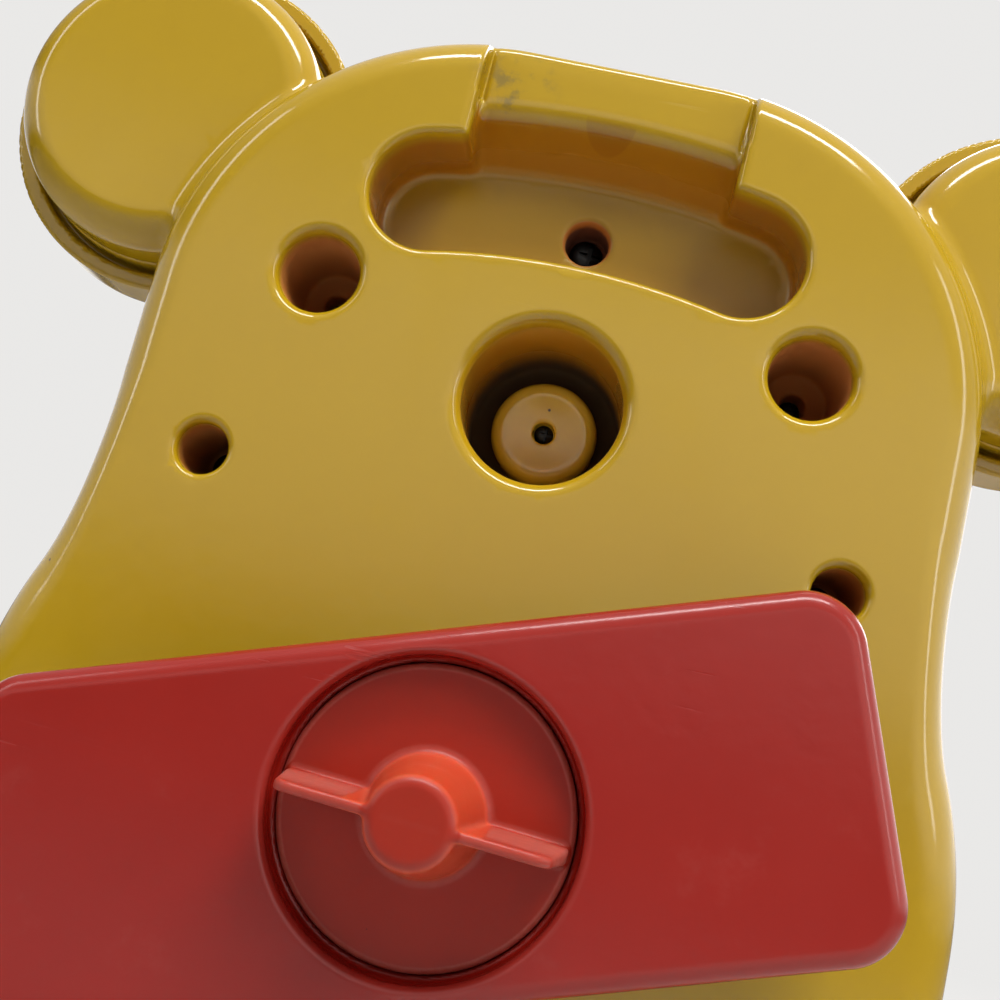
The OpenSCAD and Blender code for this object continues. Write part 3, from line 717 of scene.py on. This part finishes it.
def threaded_stud(name, material):
    """Stud with a coarse rounded thread, as one closed skin."""
    around, per_mm = 48, 5
    low, top = STUD_W
    rows = int((top - low) * per_mm) + 1
    heights = np.linspace(low, top, rows)[:, None]
    angles = (2 * math.pi / around * np.arange(around))[None, :]
    phase = heights / THREAD_PITCH - angles / (2 * math.pi)
    steepness, root_share = 1.6, 0.3
    crest = np.clip(steepness * np.abs(2 * (phase % 1) - 1) - root_share, 0, 1)
    ease = crest * crest * (3 - 2 * crest)
    lead_in = np.clip((heights - low) / THREAD_PITCH, 0, 1)
    plain_end = np.clip((THREAD_END_W - heights) / THREAD_RUN_OUT, 0, 1)
    radii = STUD_R - THREAD_DEPTH * (1 - ease * lead_in) * plain_end
    radii = radii - STUD_CHAMFER * np.clip(1 - (heights - low) / STUD_CHAMFER, 0, 1)
    plan = np.stack([radii * np.cos(angles), radii * np.sin(angles), heights + 0 * angles], axis=2)
    return turned_skin(name, plan, 40, material)


def folded_bellows(name, material):
    """Rubber bellows turned from a wave, with a closed front end and a thin skin."""
    around, per_fold = 48, 12
    middle = 0.01
    low, top = BELLOWS_W
    steps = BELLOWS_FOLDS * per_fold
    along = np.linspace(0, 1, steps + 1)
    wave = 0.5 - 0.5 * np.cos(2 * math.pi * BELLOWS_FOLDS * along)
    outer = BELLOWS_R[0] + (BELLOWS_R[1] - BELLOWS_R[0]) * wave
    heights = low + (top - low) * along
    inside = heights >= low + BELLOWS_SKIN
    radii = np.concatenate([[middle], outer, (outer - BELLOWS_SKIN)[inside][::-1], [middle]])
    places = np.concatenate([[low], heights, heights[inside][::-1], [low + BELLOWS_SKIN]])
    angles = 2 * math.pi / around * np.arange(around)
    radii = radii[:, None]
    plan = np.stack([radii * np.cos(angles) + BUTTON[0], radii * np.sin(angles) + BUTTON[1],
                     places[:, None] + 0 * angles], axis=2)
    return turned_skin(name, plan, 50, material)


# Node trees, and the screws by Geometry Nodes

class Nodes:
    """Short calls that add nodes to a tree and link them."""

    def __init__(self, tree):
        self.tree = tree

    def add(self, kind, settings=None, **inputs):
        """New node, with its settings and with values or links for its inputs."""
        node = self.tree.nodes.new(kind)
        for name, value in (settings or {}).items():
            setattr(node, name, value)
        for name, value in inputs.items():
            self.put(node.inputs[name.replace("_", " ")], value)
        return node

    def put(self, socket, value):
        """Sets an input's value or links an output to it."""
        if isinstance(value, bpy.types.NodeSocket):
            self.tree.links.new(value, socket)
        else:
            socket.default_value = value

    def math(self, operation, first, second=0.0):
        node = self.tree.nodes.new("ShaderNodeMath")
        node.operation = operation
        self.put(node.inputs[0], first)
        self.put(node.inputs[1], second)
        return node.outputs[0]

    def both(self, first, second):
        """Product: where both masks apply, or one mask at a strength."""
        return self.math("MULTIPLY", first, second)

    def most(self, first, second):
        return self.math("MAXIMUM", first, second)

    def rays(self):
        """Masks of the rays that the camera sees by, and of those that gloss mirrors by."""
        path = self.add("ShaderNodeLightPath").outputs
        return self.most(path["Is Camera Ray"], path["Is Transmission Ray"]), path["Is Glossy Ray"]

    def mask(self, value, low, high):
        """Goes smoothly from 0 to 1 as a value goes from low to high."""
        node = self.add("ShaderNodeMapRange", {"interpolation_type": "SMOOTHSTEP"}, Value=value)
        self.put(node.inputs["From Min"], low)
        self.put(node.inputs["From Max"], high)
        return node.outputs[0]


SCREW_SIZES = ("Head radius", "Head height", "Shank radius", "Shank length")
# Length and width of the cross slot and size of the cutting box, as shares of the head's radius
SLOT_SHARES = (1.25, 0.28)
BOX_SHARE = 4.0
SLOT_TURN = math.radians(20)


def screw_tree():
    """Tree that sets a cross-slotted screw on each seat, with its shank pointing into the housing."""
    tree = bpy.data.node_groups.new("cross_slotted_screws", "GeometryNodeTree")
    tree.interface.new_socket("Seats", in_out="INPUT", socket_type="NodeSocketGeometry")
    for size in SCREW_SIZES:
        tree.interface.new_socket(size, in_out="INPUT", socket_type="NodeSocketFloat")
    tree.interface.new_socket("Finish", in_out="INPUT", socket_type="NodeSocketMaterial")
    tree.interface.new_socket("Screws", in_out="OUTPUT", socket_type="NodeSocketGeometry")
    nodes = Nodes(tree)
    given = nodes.add("NodeGroupInput").outputs
    head_r, head_h, shank_r, shank_l = (given[size] for size in SCREW_SIZES)

    def moved(mesh, z=0.0, scale=None):
        place = nodes.add("ShaderNodeCombineXYZ", Z=z).outputs[0]
        node = nodes.add("GeometryNodeTransform", Geometry=mesh, Translation=place)
        if scale is not None:
            nodes.put(node.inputs["Scale"], scale)
        return node.outputs["Geometry"]

    def box(x, y, z):
        size = nodes.add("ShaderNodeCombineXYZ", X=x, Y=y, Z=z).outputs[0]
        return nodes.add("GeometryNodeMeshCube", Size=size).outputs["Mesh"]

    dome = nodes.add("GeometryNodeMeshUVSphere", Segments=40, Rings=20, Radius=head_r).outputs["Mesh"]
    flatness = nodes.math("DIVIDE", head_h, head_r)
    dome = moved(dome, 0.0, nodes.add("ShaderNodeCombineXYZ", X=1.0, Y=1.0, Z=flatness).outputs[0])
    wide = nodes.both(head_r, BOX_SHARE)
    under = moved(box(wide, wide, wide), nodes.both(head_r, -BOX_SHARE / 2))
    slot_l, slot_w = (nodes.both(head_r, share) for share in SLOT_SHARES)
    slots = [moved(box(x, y, head_h), head_h) for x, y in ((slot_l, slot_w), (slot_w, slot_l))]
    head = nodes.add("GeometryNodeMeshBoolean", {"operation": "DIFFERENCE", "solver": "EXACT"}, Mesh_1=dome)
    for cutter in (under, *slots):
        tree.links.new(cutter, head.inputs["Mesh 2"])
    shank = nodes.add("GeometryNodeMeshCone", Vertices=24, Radius_Top=shank_r, Depth=shank_l,
                      Radius_Bottom=nodes.both(shank_r, 0.5)).outputs["Mesh"]
    whole = nodes.add("GeometryNodeJoinGeometry")
    tree.links.new(head.outputs["Mesh"], whole.inputs["Geometry"])
    tree.links.new(moved(shank, nodes.both(shank_l, -1.0)), whole.inputs["Geometry"])
    on_seats = nodes.add("GeometryNodeInstanceOnPoints", Points=given["Seats"],
                         Instance=whole.outputs["Geometry"], Rotation=(-math.pi / 2, 0, SLOT_TURN))
    solid = nodes.add("GeometryNodeRealizeInstances", Geometry=on_seats.outputs["Instances"])
    finished = nodes.add("GeometryNodeSetMaterial", Geometry=solid.outputs["Geometry"],
                         Material=given["Finish"])
    result = nodes.add("NodeGroupOutput")
    tree.links.new(finished.outputs["Geometry"], result.inputs["Screws"])
    return tree


def screws(name, tree, seats, sizes, material):
    """Screws on seats given in plan, as one plain mesh."""
    start = bpy.data.meshes.new(name)
    start.from_pydata(placed(np.array(seats, float)), [], [])
    holder = linked(name + "_seats", start)
    modifier = holder.modifiers.new("screws", "NODES")
    modifier.node_group = tree
    sockets = {item.name: item.identifier for item in tree.interface.items_tree}
    for size, value in zip(SCREW_SIZES, sizes):
        modifier[sockets[size]] = value * MM
    modifier[sockets["Finish"]] = material
    mesh = applied(holder, name)
    mesh.shade_smooth()
    mesh.set_sharp_from_angle(angle=math.radians(35))
    return shown(name, mesh, material)


# Finishes

class Finish(Nodes):
    """A material's node tree, with the masks that the finishes share."""

    def __init__(self, name):
        self.material = bpy.data.materials.new(name)
        self.material.use_nodes = True
        super().__init__(self.material.node_tree)
        self.shader = self.tree.nodes["Principled BSDF"]
        self.place = self.add("ShaderNodeTexCoord").outputs["Object"]

    def noise(self, scale, detail=3.0, roughness=0.5, stretch=None, turn=(0, 0, 0)):
        place = self.place
        if stretch:
            place = self.add("ShaderNodeMapping", Vector=place, Rotation=turn, Scale=stretch).outputs[0]
        return self.add("ShaderNodeTexNoise", Vector=place, Scale=scale, Detail=detail,
                        Roughness=roughness).outputs[0]

    def span(self, value, low, high):
        """Spreads a value between 0 and 1 over a range."""
        node = self.add("ShaderNodeMapRange", Value=value)
        self.put(node.inputs["To Min"], low)
        self.put(node.inputs["To Max"], high)
        return node.outputs[0]

    def mixed(self, share, first, second):
        """Two colours, the second by a share."""
        node = self.add("ShaderNodeMix", {"data_type": "RGBA"})
        self.put(node.inputs["Factor"], share)
        for socket, colour in ((node.inputs[6], first), (node.inputs[7], second)):
            self.put(socket, colour if isinstance(colour, bpy.types.NodeSocket) else (*colour, 1))
        return node.outputs[2]

    def edges(self, low, high):
        """Mask by how the surface bends: over 0 on convex edges, under 0 in hollows."""
        bend = self.add("ShaderNodeAttribute", {"attribute_name": "edge"}).outputs["Fac"]
        return self.mask(bend, low, high)

    def depth(self, high, low):
        """Mask that grows between two heights over the back, in millimetres."""
        out = self.add("ShaderNodeSeparateXYZ", Vector=self.place).outputs["Y"]
        return self.mask(out, high * MM, low * MM)

    def steep(self):
        """Mask of the walls that run into the back."""
        normal = self.add("ShaderNodeNewGeometry").outputs["Normal"]
        facing = self.math("ABSOLUTE", self.add("ShaderNodeSeparateXYZ", Vector=normal).outputs["Y"])
        return self.mask(facing, 0.85, 0.55)

    def near(self, centre, radius, soft):
        """Mask of the places about an axis out of the back and about its mirror image."""
        parts = self.add("ShaderNodeSeparateXYZ", Vector=self.place).outputs
        across = self.math("SUBTRACT", self.math("ABSOLUTE", parts["X"]), centre[0] * MM)
        up = self.math("SUBTRACT", parts["Z"], centre[1] * MM)
        square = self.math("ADD", self.both(across, across), self.both(up, up))
        reach = self.math("SQRT", square)
        return self.mask(reach, radius * MM, (radius - soft) * MM)

    def scratches(self, scale, threshold):
        """Fine straight marks in three directions."""
        marks = None
        for turn in ((0.3, 0.2, 0.5), (1.1, 0.7, 2.1), (0.6, 1.9, 1.2)):
            streaks = self.noise(scale, 2, 0.6, (1, 26, 26), turn)
            streaks = self.mask(streaks, threshold, threshold + 0.05)
            marks = streaks if marks is None else self.most(marks, streaks)
        patches = self.mask(self.noise(38, 2), 0.45, 0.65)
        return self.both(marks, patches)

    def specks(self, scale, size, share):
        """Sparse dark dots: one in some cells of a net."""
        cells = self.add("ShaderNodeTexVoronoi", Vector=self.place, Scale=scale)
        near = self.mask(cells.outputs["Distance"], size, size * 0.5)
        chosen = self.add("ShaderNodeSeparateColor", Color=cells.outputs["Color"]).outputs[0]
        return self.both(near, self.mask(chosen, 1 - share, 1 - share + 0.02))

    def bumps(self, *layers):
        """Stacks height layers, each a value with its depth in metres."""
        normal = None
        for value, depth in layers:
            bump = self.add("ShaderNodeBump", Height=value, Distance=depth)
            bump.inputs["Strength"].default_value = 1.0
            if normal is not None:
                self.put(bump.inputs["Normal"], normal)
            normal = bump.outputs[0]
        self.put(self.shader.inputs["Normal"], normal)

    def glossed(self, tone, shaded_hollows):
        """Gloss with fine scratches, dust specks and dull patches, duller by a given share in the shaded
        hollows.
        """
        dull = self.mask(self.noise(30, 4, 0.6), 0.5, 0.72)
        scratches = self.scratches(26, 0.72)
        tone = self.mixed(self.both(scratches, 0.08), tone, SCRATCH_TONE)
        tone = self.mixed(self.specks(95, 0.035, 0.06), tone, DUST_TONE)
        roughness = self.math("ADD", self.span(dull, 0.11, 0.17), self.both(scratches, 0.12))
        roughness = self.math("ADD", roughness, self.both(shaded_hollows, 0.8))
        self.bumps((self.noise(260, 2), 20 * MICRON), (scratches, -10 * MICRON))
        return self.done(tone, roughness)

    def done(self, colour, roughness, **constants):
        """The finished material, with the shader's other values."""
        self.put(self.shader.inputs["Base Color"], colour)
        self.put(self.shader.inputs["Roughness"], roughness)
        for name, value in constants.items():
            self.shader.inputs[name.replace("_", " ")].default_value = value
        return self.material


def glossy_yellow(name, light, deep):
    """Glossy moulded plastic with fine scratches, dust specks and dull patches."""
    finish = Finish(name)
    return finish.glossed(finish.mixed(finish.noise(22, 3, 0.55), deep, light), 0.0)


def housing_yellow(name, light, deep):
    """The same plastic, with painted shade and painted light in its hollows: darker, redder tones down in
    the pocket, in the wells and in the pocket's hole, a painted orange glow on the recess's wall, and a tone
    that goes nearly black deep in the recess.
    """
    finish = Finish(name)
    steep = finish.steep()
    tone = finish.mixed(finish.noise(22, 3, 0.55), deep, light)
    arc = (0, POCKET_ARC_V)
    within, beyond = (finish.near(arc, radius, 1) for radius in POCKET_ZONE_R)
    pocket = finish.math("SUBTRACT", beyond, within)
    pocket = finish.both(pocket, finish.near(POCKET_ZONE_MIDDLE, POCKET_ZONE_HALF, 1))
    # Painted shade: a darker floor and redder walls down in the pocket
    shaded_pocket_floor = finish.both(pocket, finish.depth(-8, -13))
    tone = finish.mixed(shaded_pocket_floor, tone, POCKET_FLOOR_SHADE)
    wall = finish.both(steep, finish.depth(-1, -5))
    tone = finish.mixed(finish.both(pocket, wall), tone, POCKET_WALL_SHADE)
    pin_mark = finish.both(finish.near(PIN_MARK, PIN_MARK_R, 0.4), finish.depth(LIP_W - 0.5, LIP_W - 1))
    tone = finish.mixed(finish.both(pin_mark, 0.3), tone, PIN_MARK_TONE)
    blotches = finish.mask(finish.noise(170, 4, 0.7), 0.5, 0.66)
    smudge = finish.both(finish.near(LIP_SMUDGE, LIP_SMUDGE_R, 6), blotches)
    across = finish.add("ShaderNodeSeparateXYZ", Vector=finish.place).outputs["X"]
    left_half = finish.mask(across, 0.0, 4 * MM)
    smudge = finish.both(smudge, left_half)
    tone = finish.mixed(finish.both(smudge, 0.5), tone, SMUDGE_TONE)
    wells = None
    for centre, radius in WELLS:
        well = finish.near(centre, radius + 0.6, 0.3)
        wells = well if wells is None else finish.most(wells, well)
    recess = finish.near(AXLE, RECESS_R + RECESS_RIM, RECESS_RIM)
    # Painted orange glow on the recess's wall below its rim
    recess_rim_glow = finish.both(recess, finish.depth(0, -5))
    tone = finish.mixed(recess_rim_glow, tone, RECESS_WALL_GLOW)
    # Painted shade: browner, darker floors and walls in the wells
    shaded_hollows = finish.both(wells, finish.depth(-1, -4))
    tone = finish.mixed(shaded_hollows, tone, finish.mixed(steep, WELL_FLOOR_SHADE, WELL_WALL_SHADE))
    # Painted shade in the pocket's screw hole
    hole = finish.both(finish.near(POCKET_HOLE, POCKET_HOLE_R + 0.6, 0.3), finish.depth(-17, -19))
    tone = finish.mixed(hole, tone, POCKET_HOLE_SHADE)
    # Nearly black deep down in the recess
    deep_recess = finish.both(recess, finish.depth(-12, -25))
    tone = finish.mixed(finish.both(deep_recess, 0.93), tone, RECESS_DEEP_TONE)
    dull = finish.most(shaded_hollows, finish.both(shaded_pocket_floor, 0.26))
    return finish.glossed(tone, finish.most(dull, deep_recess))


def scuffed_red(name, light, deep):
    """Satin moulded plastic with scuffs, and edges a little paler: partly wear, partly a painted sheen."""
    finish = Finish(name)
    tone = finish.mixed(finish.noise(26, 4, 0.6), deep, light)
    scratches = finish.scratches(24, 0.70)
    scuffs = finish.mask(finish.noise(60, 5, 0.7), 0.56, 0.8)
    wear_and_painted_sheen = finish.most(finish.both(scratches, 0.07), finish.both(scuffs, 0.12))
    # Paler edges: partly wear, partly a painted sheen
    wear_and_painted_sheen = finish.most(wear_and_painted_sheen, finish.both(finish.edges(0.1, 0.6), 0.12))
    tone = finish.mixed(wear_and_painted_sheen, tone, BAR_PALE)
    tone = finish.mixed(finish.specks(120, 0.035, 0.03), tone, BAR_SPECK_TONE)
    roughness = finish.math("ADD", finish.span(finish.noise(80, 4, 0.6), 0.17, 0.29),
                            finish.both(scratches, 0.15))
    finish.bumps((finish.noise(420, 3), 30 * MICRON), (scratches, -20 * MICRON))
    return finish.done(tone, roughness, Specular_IOR_Level=0.4)


def waxy_red(name, light, deep):
    """Soft-looking plastic whose edges have a pale bloom from wear, with a painted glow on the hub's side, a
    painted highlight on the disc's rim and a frosted look on the wings that is partly a painted sheen.
    """
    finish = Finish(name)
    tone = finish.mixed(finish.noise(90, 4, 0.6), deep, light)
    # Painted glow on the hub's steep side
    hub_glow = finish.both(finish.near(CLAMP, HUB_R[0] + 1.2, 0.8), finish.steep())
    tone = finish.mixed(hub_glow, tone, HUB_SIDE_GLOW)
    grain = finish.noise(700, 4, 0.7)
    bloom = finish.both(finish.edges(0.5, 1.0), finish.span(grain, 0.35, 1.0))
    hollows = finish.both(finish.edges(-0.08, -0.45), finish.span(grain, 0.1, 0.8))
    wear_and_painted_sheen = finish.most(finish.both(bloom, 0.2), finish.both(hollows, 0.2))
    # Painted highlight on the disc's rounded rim
    rim_highlight = finish.math("SUBTRACT", 1.0, finish.near(CLAMP, KNOB_R - 0.9, 0.5))
    rim_highlight = finish.both(rim_highlight, finish.edges(0.2, 0.8))
    rim_highlight = finish.both(rim_highlight, finish.span(grain, 0.1, 0.45))
    wear_and_painted_sheen = finish.most(wear_and_painted_sheen, rim_highlight)
    # Frosted look on the wings' sides, partly a painted sheen
    wings = finish.math("SUBTRACT", 1.0, finish.near(CLAMP, HUB_R[0] + 1.2, 0.6))
    wings = finish.both(wings, finish.depth(DISC_W[1], DISC_W[1] + 4))
    wings = finish.both(wings, finish.depth(WING_TOP_W + 0.5, WING_TOP_W - 5))
    frost_and_sheen = finish.both(wings, finish.span(finish.noise(300, 4, 0.7), 0.1, 0.55))
    wear_and_painted_sheen = finish.most(wear_and_painted_sheen, frost_and_sheen)
    tone = finish.mixed(wear_and_painted_sheen, tone, KNOB_PALE)
    tone = finish.mixed(finish.specks(240, 0.05, 0.05), tone, KNOB_SPECK_TONE)
    roughness = finish.span(finish.noise(160, 4, 0.6), 0.26, 0.42)
    finish.bumps((finish.noise(500, 3), 30 * MICRON), (grain, 10 * MICRON))
    return finish.done(tone, roughness, Specular_IOR_Level=0.3, Subsurface_Weight=0.3,
                       Subsurface_Radius=(1.0, 0.12, 0.06), Subsurface_Scale=0.0025)


def trim_plastic(name, light, deep):
    """Glossy coloured trim with a slight unevenness and a few fine marks."""
    finish = Finish(name)
    scratches = finish.scratches(10, 0.72)
    tone = finish.mixed(finish.noise(45, 4, 0.6), deep, light)
    roughness = finish.math("ADD", finish.span(finish.noise(70, 3), 0.16, 0.26),
                            finish.both(scratches, 0.2))
    finish.bumps((finish.noise(300, 2), 20 * MICRON), (scratches, -10 * MICRON))
    return finish.done(tone, roughness)


def even_finish(name, tones, clouds, grain, depth, sheen, roughness, **constants):
    """Two tones in clouds, with a fine relief and a varied roughness."""
    finish = Finish(name)
    tone = finish.mixed(finish.noise(*clouds), *tones)
    finish.bumps((finish.noise(grain, 3), depth))
    return finish.done(tone, finish.span(finish.noise(*sheen), *roughness), **constants)


# Camera, light and floor

def set_camera():
    """Camera where the photograph was taken."""
    data = bpy.data.cameras.new("camera")
    data.lens = CAMERA_LENS
    data.sensor_width = CAMERA_SENSOR
    data.sensor_fit = "HORIZONTAL"
    data.clip_start = CAMERA_NEAREST
    camera = linked("camera", data)
    right, up = Vector(CAMERA_RIGHT).normalized(), Vector(CAMERA_UP).normalized()
    back = right.cross(up).normalized()
    up = back.cross(right)
    turn = Matrix((right, up, back)).transposed().to_4x4()
    camera.matrix_world = Matrix.Translation(CAMERA_PLACE) @ turn
    bpy.context.scene.camera = camera


def softbox(name, place, aim, size, power, in_gloss):
    """Area lamp that looks at a point, with its width and height."""
    data = bpy.data.lights.new(name, "AREA")
    data.shape = "RECTANGLE"
    data.size, data.size_y = size
    data.energy = power
    lamp = linked(name, data)
    lamp.location = place
    lamp.rotation_euler = (Vector(aim) - Vector(place)).to_track_quat("-Z", "Y").to_euler()
    lamp.visible_camera = False
    lamp.visible_glossy = in_gloss


def set_world():
    """Soft light from all round. The camera sees a pale sky, and gloss one with a bright side and a band."""
    world = bpy.data.worlds.new("studio")
    world.use_nodes = True
    bpy.context.scene.world = world
    nodes = Nodes(world.node_tree)
    background = world.node_tree.nodes["Background"]
    seen, mirrored_in = nodes.rays()
    direction = nodes.add("ShaderNodeTexCoord").outputs["Generated"]
    toward = nodes.add("ShaderNodeVectorMath", {"operation": "DOT_PRODUCT"})
    nodes.put(toward.inputs[0], direction)
    nodes.put(toward.inputs[1], BRIGHT_SIDE)
    mirrored = nodes.add("ShaderNodeMapRange", Value=toward.outputs["Value"])
    for kind, values in (("From", MIRRORED_RANGE), ("To", MIRRORED_SKY)):
        for end, value in zip(("Min", "Max"), values):
            nodes.put(mirrored.inputs[kind + " " + end], value)
    height = nodes.add("ShaderNodeSeparateXYZ", Vector=direction).outputs["Z"]
    band = nodes.both(nodes.mask(height, *BAND_RISE), nodes.mask(height, *BAND_FALL))
    mirror_light = nodes.math("ADD", mirrored.outputs[0], nodes.both(band, BAND_LIGHT))
    level = nodes.add("ShaderNodeMix", Factor=mirrored_in, A=WORLD_LIGHT, B=mirror_light).outputs[0]
    level = nodes.add("ShaderNodeMix", Factor=seen, A=level, B=PALE_SKY).outputs[0]
    background.inputs["Color"].default_value = SKY_COLOUR
    nodes.put(background.inputs["Strength"], level)


def set_floor():
    """Pale floor under the toy, which fades into the sky farther out."""
    low = cad_box[0][2]
    corners = [(x * FLOOR_HALF, y * FLOOR_HALF, low) for x, y in ((-1, -1), (1, -1), (1, 1), (-1, 1))]
    mesh = bpy.data.meshes.new("floor")
    mesh.from_pydata(corners, [], [(0, 1, 2, 3)])
    finish = Finish("pale_floor")
    seen, mirrored_in = finish.rays()
    seen = finish.math("ADD", seen, finish.both(mirrored_in, FLOOR_IN_GLOSS))
    distance = finish.add("ShaderNodeVectorMath", {"operation": "LENGTH"})
    finish.put(distance.inputs[0], finish.place)
    far = finish.mask(distance.outputs["Value"], *FLOOR_FADE)
    pale = finish.mixed(finish.noise(3, 3), (0.56, 0.55, 0.54), (0.60, 0.59, 0.58))
    tone = finish.mixed(far, pale, (0, 0, 0))
    finish.put(finish.shader.inputs["Emission Color"], SKY_COLOUR)
    finish.put(finish.shader.inputs["Emission Strength"],
               finish.both(far, finish.both(seen, PALE_SKY)))
    floor = shown("floor", mesh, finish.done(tone, 0.75, Specular_IOR_Level=0.0))


set_camera()
set_world()
set_floor()
softbox("key", (-0.36, 0.56, 0.92), (0, 0, 0.02), size=(0.5, 0.4), power=8.2, in_gloss=False)
softbox("top_strip", (0, 0.36, 0.98), TOY_MIDDLE, size=(0.8, 0.12), power=8, in_gloss=True)
for side in (-1, 1):
    softbox("side_strip", (0.85 * side, 0.42, 0.5), TOY_MIDDLE, size=(0.12, 0.7), power=1.5, in_gloss=True)
softbox("front_fill", (-0.7, -1.4, 1.1), TOY_MIDDLE, size=(1.5, 1.2), power=35, in_gloss=True)

yellow = housing_yellow("glossy_yellow_shell", LIGHT_YELLOW, DEEP_YELLOW)
yellow_front = glossy_yellow("glossy_yellow_front", LIGHT_YELLOW, DEEP_YELLOW)
# The cap is the housing's yellow painted much brighter, as painted light deep in the recess
cap_yellow_painted_bright = glossy_yellow("glossy_yellow_cap", light=(0.92, 0.66, 0.06), deep=(0.86, 0.60, 0.05))
bar_red = scuffed_red("scuffed_red_bar", light=(0.31, 0.012, 0.006), deep=(0.26, 0.009, 0.005))
knob_red = waxy_red("waxy_orange_red_knob", light=(0.36, 0.022, 0.008), deep=(0.31, 0.016, 0.006))
trim_red = trim_plastic("glossy_red_trim", light=(0.36, 0.022, 0.016), deep=(0.29, 0.014, 0.012))
trim_blue = trim_plastic("glossy_blue_trim", light=(0.012, 0.055, 0.30), deep=(0.008, 0.038, 0.24))
trim_white = trim_plastic("glossy_white_trim", light=(0.72, 0.69, 0.62), deep=(0.64, 0.61, 0.53))
nylon = even_finish("natural_nylon", ((0.52, 0.48, 0.38), (0.68, 0.64, 0.53)), clouds=(120, 4, 0.6),
                    grain=600, depth=30 * MICRON, sheen=(200, 3), roughness=(0.35, 0.55))
rubber = even_finish("bellows_rubber", ((0.012, 0.012, 0.012), (0.045, 0.043, 0.04)), clouds=(150, 5, 0.7),
                     grain=900, depth=40 * MICRON, sheen=(150, 4), roughness=(0.55, 0.8))
steel = even_finish("blackened_steel", ((0.018, 0.017, 0.016), (0.05, 0.048, 0.045)), clouds=(800, 4, 0.6),
                    grain=1500, depth=10 * MICRON, sheen=(900, 3), roughness=(0.35, 0.6), Metallic=1.0)

# Each piece, with the body it rides on, the node it replaces and its material slot
pieces = [
    (sculpted("back_housing", back_shell_field, (-112, -89, -31), (112, 142, 2), 0.65, yellow, 0.0002,
              back_unseen),
     "housing", "back_shell", "yellow_shell"),
    (sculpted("front_housing", front_shell_field, (-117, -89, -49), (117, 147, -20), 0.7, yellow_front,
              0.001, front_unseen),
     "housing", "front_shell", "yellow_front"),
    (sculpted("slat_bar", clamp_bar_field, (-72, -50, 9), (72, 50, 32), 0.55, bar_red, 0.0, bar_unseen),
     "bar", "clamp_bar", "red_bar"),
    (sculpted("thumb_knob", wing_knob_field, (-23, -23, 19), (23, 23, 47), 0.35, knob_red),
     "knob", "wing_knob", "orange_red_knob"),
    (sculpted("flower_spinner", spinner_dial_field, (-39, 28, -59), (39, 106, -24), 0.6, trim_red, 0.01),
     "spinner", "spinner_dial", "red_trim"),
    (sculpted("axle_end", axle_cap_field, (-11, 56, -29), (11, 79, -19), 0.3, cap_yellow_painted_bright),
     "spinner", "axle_cap", "yellow_shell"),
    (sculpted("left_ear_inlay", ear_inlay_field, (68, 96, -44), (103, 131, -39), 0.4, trim_red),
     "housing", "ear_inlay_left", "red_trim"),
    (sculpted("right_ear_inlay", ear_inlay_field, (-103, 96, -44), (-68, 131, -39), 0.4, trim_red),
     "housing", "ear_inlay_right", "red_trim"),
    (threaded_stud("coarse_stud", nylon), "knob", "clamp_stud", "nylon"),
    (folded_bellows("squeak_bellows", rubber), "housing", "squeaker_bellows", "bellows_rubber"),
]

tree = screw_tree()
both_sides = (-1, 1)
large_seats = [(side * LARGE_WELL[0], LARGE_WELL[1], SINK_W) for side in both_sides]
small_seats = [(side * well[0], well[1], SMALL_WELL_W) for well in SMALL_WELLS for side in both_sides]
pieces += [
    (screws("large_well_screw_pair", tree, large_seats, (2.1, 2, 1.4, 14), steel),
     "housing", "large_well_screws", "steel"),
    (screws("small_well_screw_set", tree, small_seats, (3.5, 2, 1.4, 17), steel),
     "housing", "small_well_screws", "steel"),
    (screws("pocket_floor_screw", tree, [(*POCKET_HOLE, POCKET_HOLE_W)], (3.4, 2, 1.4, 14), steel),
     "housing", "pocket_screw", "steel"),
    (screws("axle_end_screw", tree, [(*AXLE, CAP_SEAT_W)], (1.85, 1.4, 1.3, 14), steel),
     "spinner", "axle_screw", "steel"),
]

for piece, body, node, slot in pieces:
    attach(piece, body)
    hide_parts(node)
    if node == "squeaker_bellows":
        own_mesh(piece)

# Nodes whose solids are shown as they are, with their materials
carried = (
    (trim_white, ("spinner_hub_cap",)),
    (trim_blue, ("squeak_button",)),
    (trim_red, ("button_bezel",)),
    (nylon, ("spinner_bush", "click_wheel", "click_leaf", "squeaker_reed", "clamp_nut", "knob_washer")),
    (steel, ("click_leaf_screw", "stud_clip")),
)
for material, nodes in carried:
    for node in nodes:
        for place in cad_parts[node].material_slots:
            place.material = material

scene = bpy.context.scene
scene.view_settings.view_transform = "Standard"
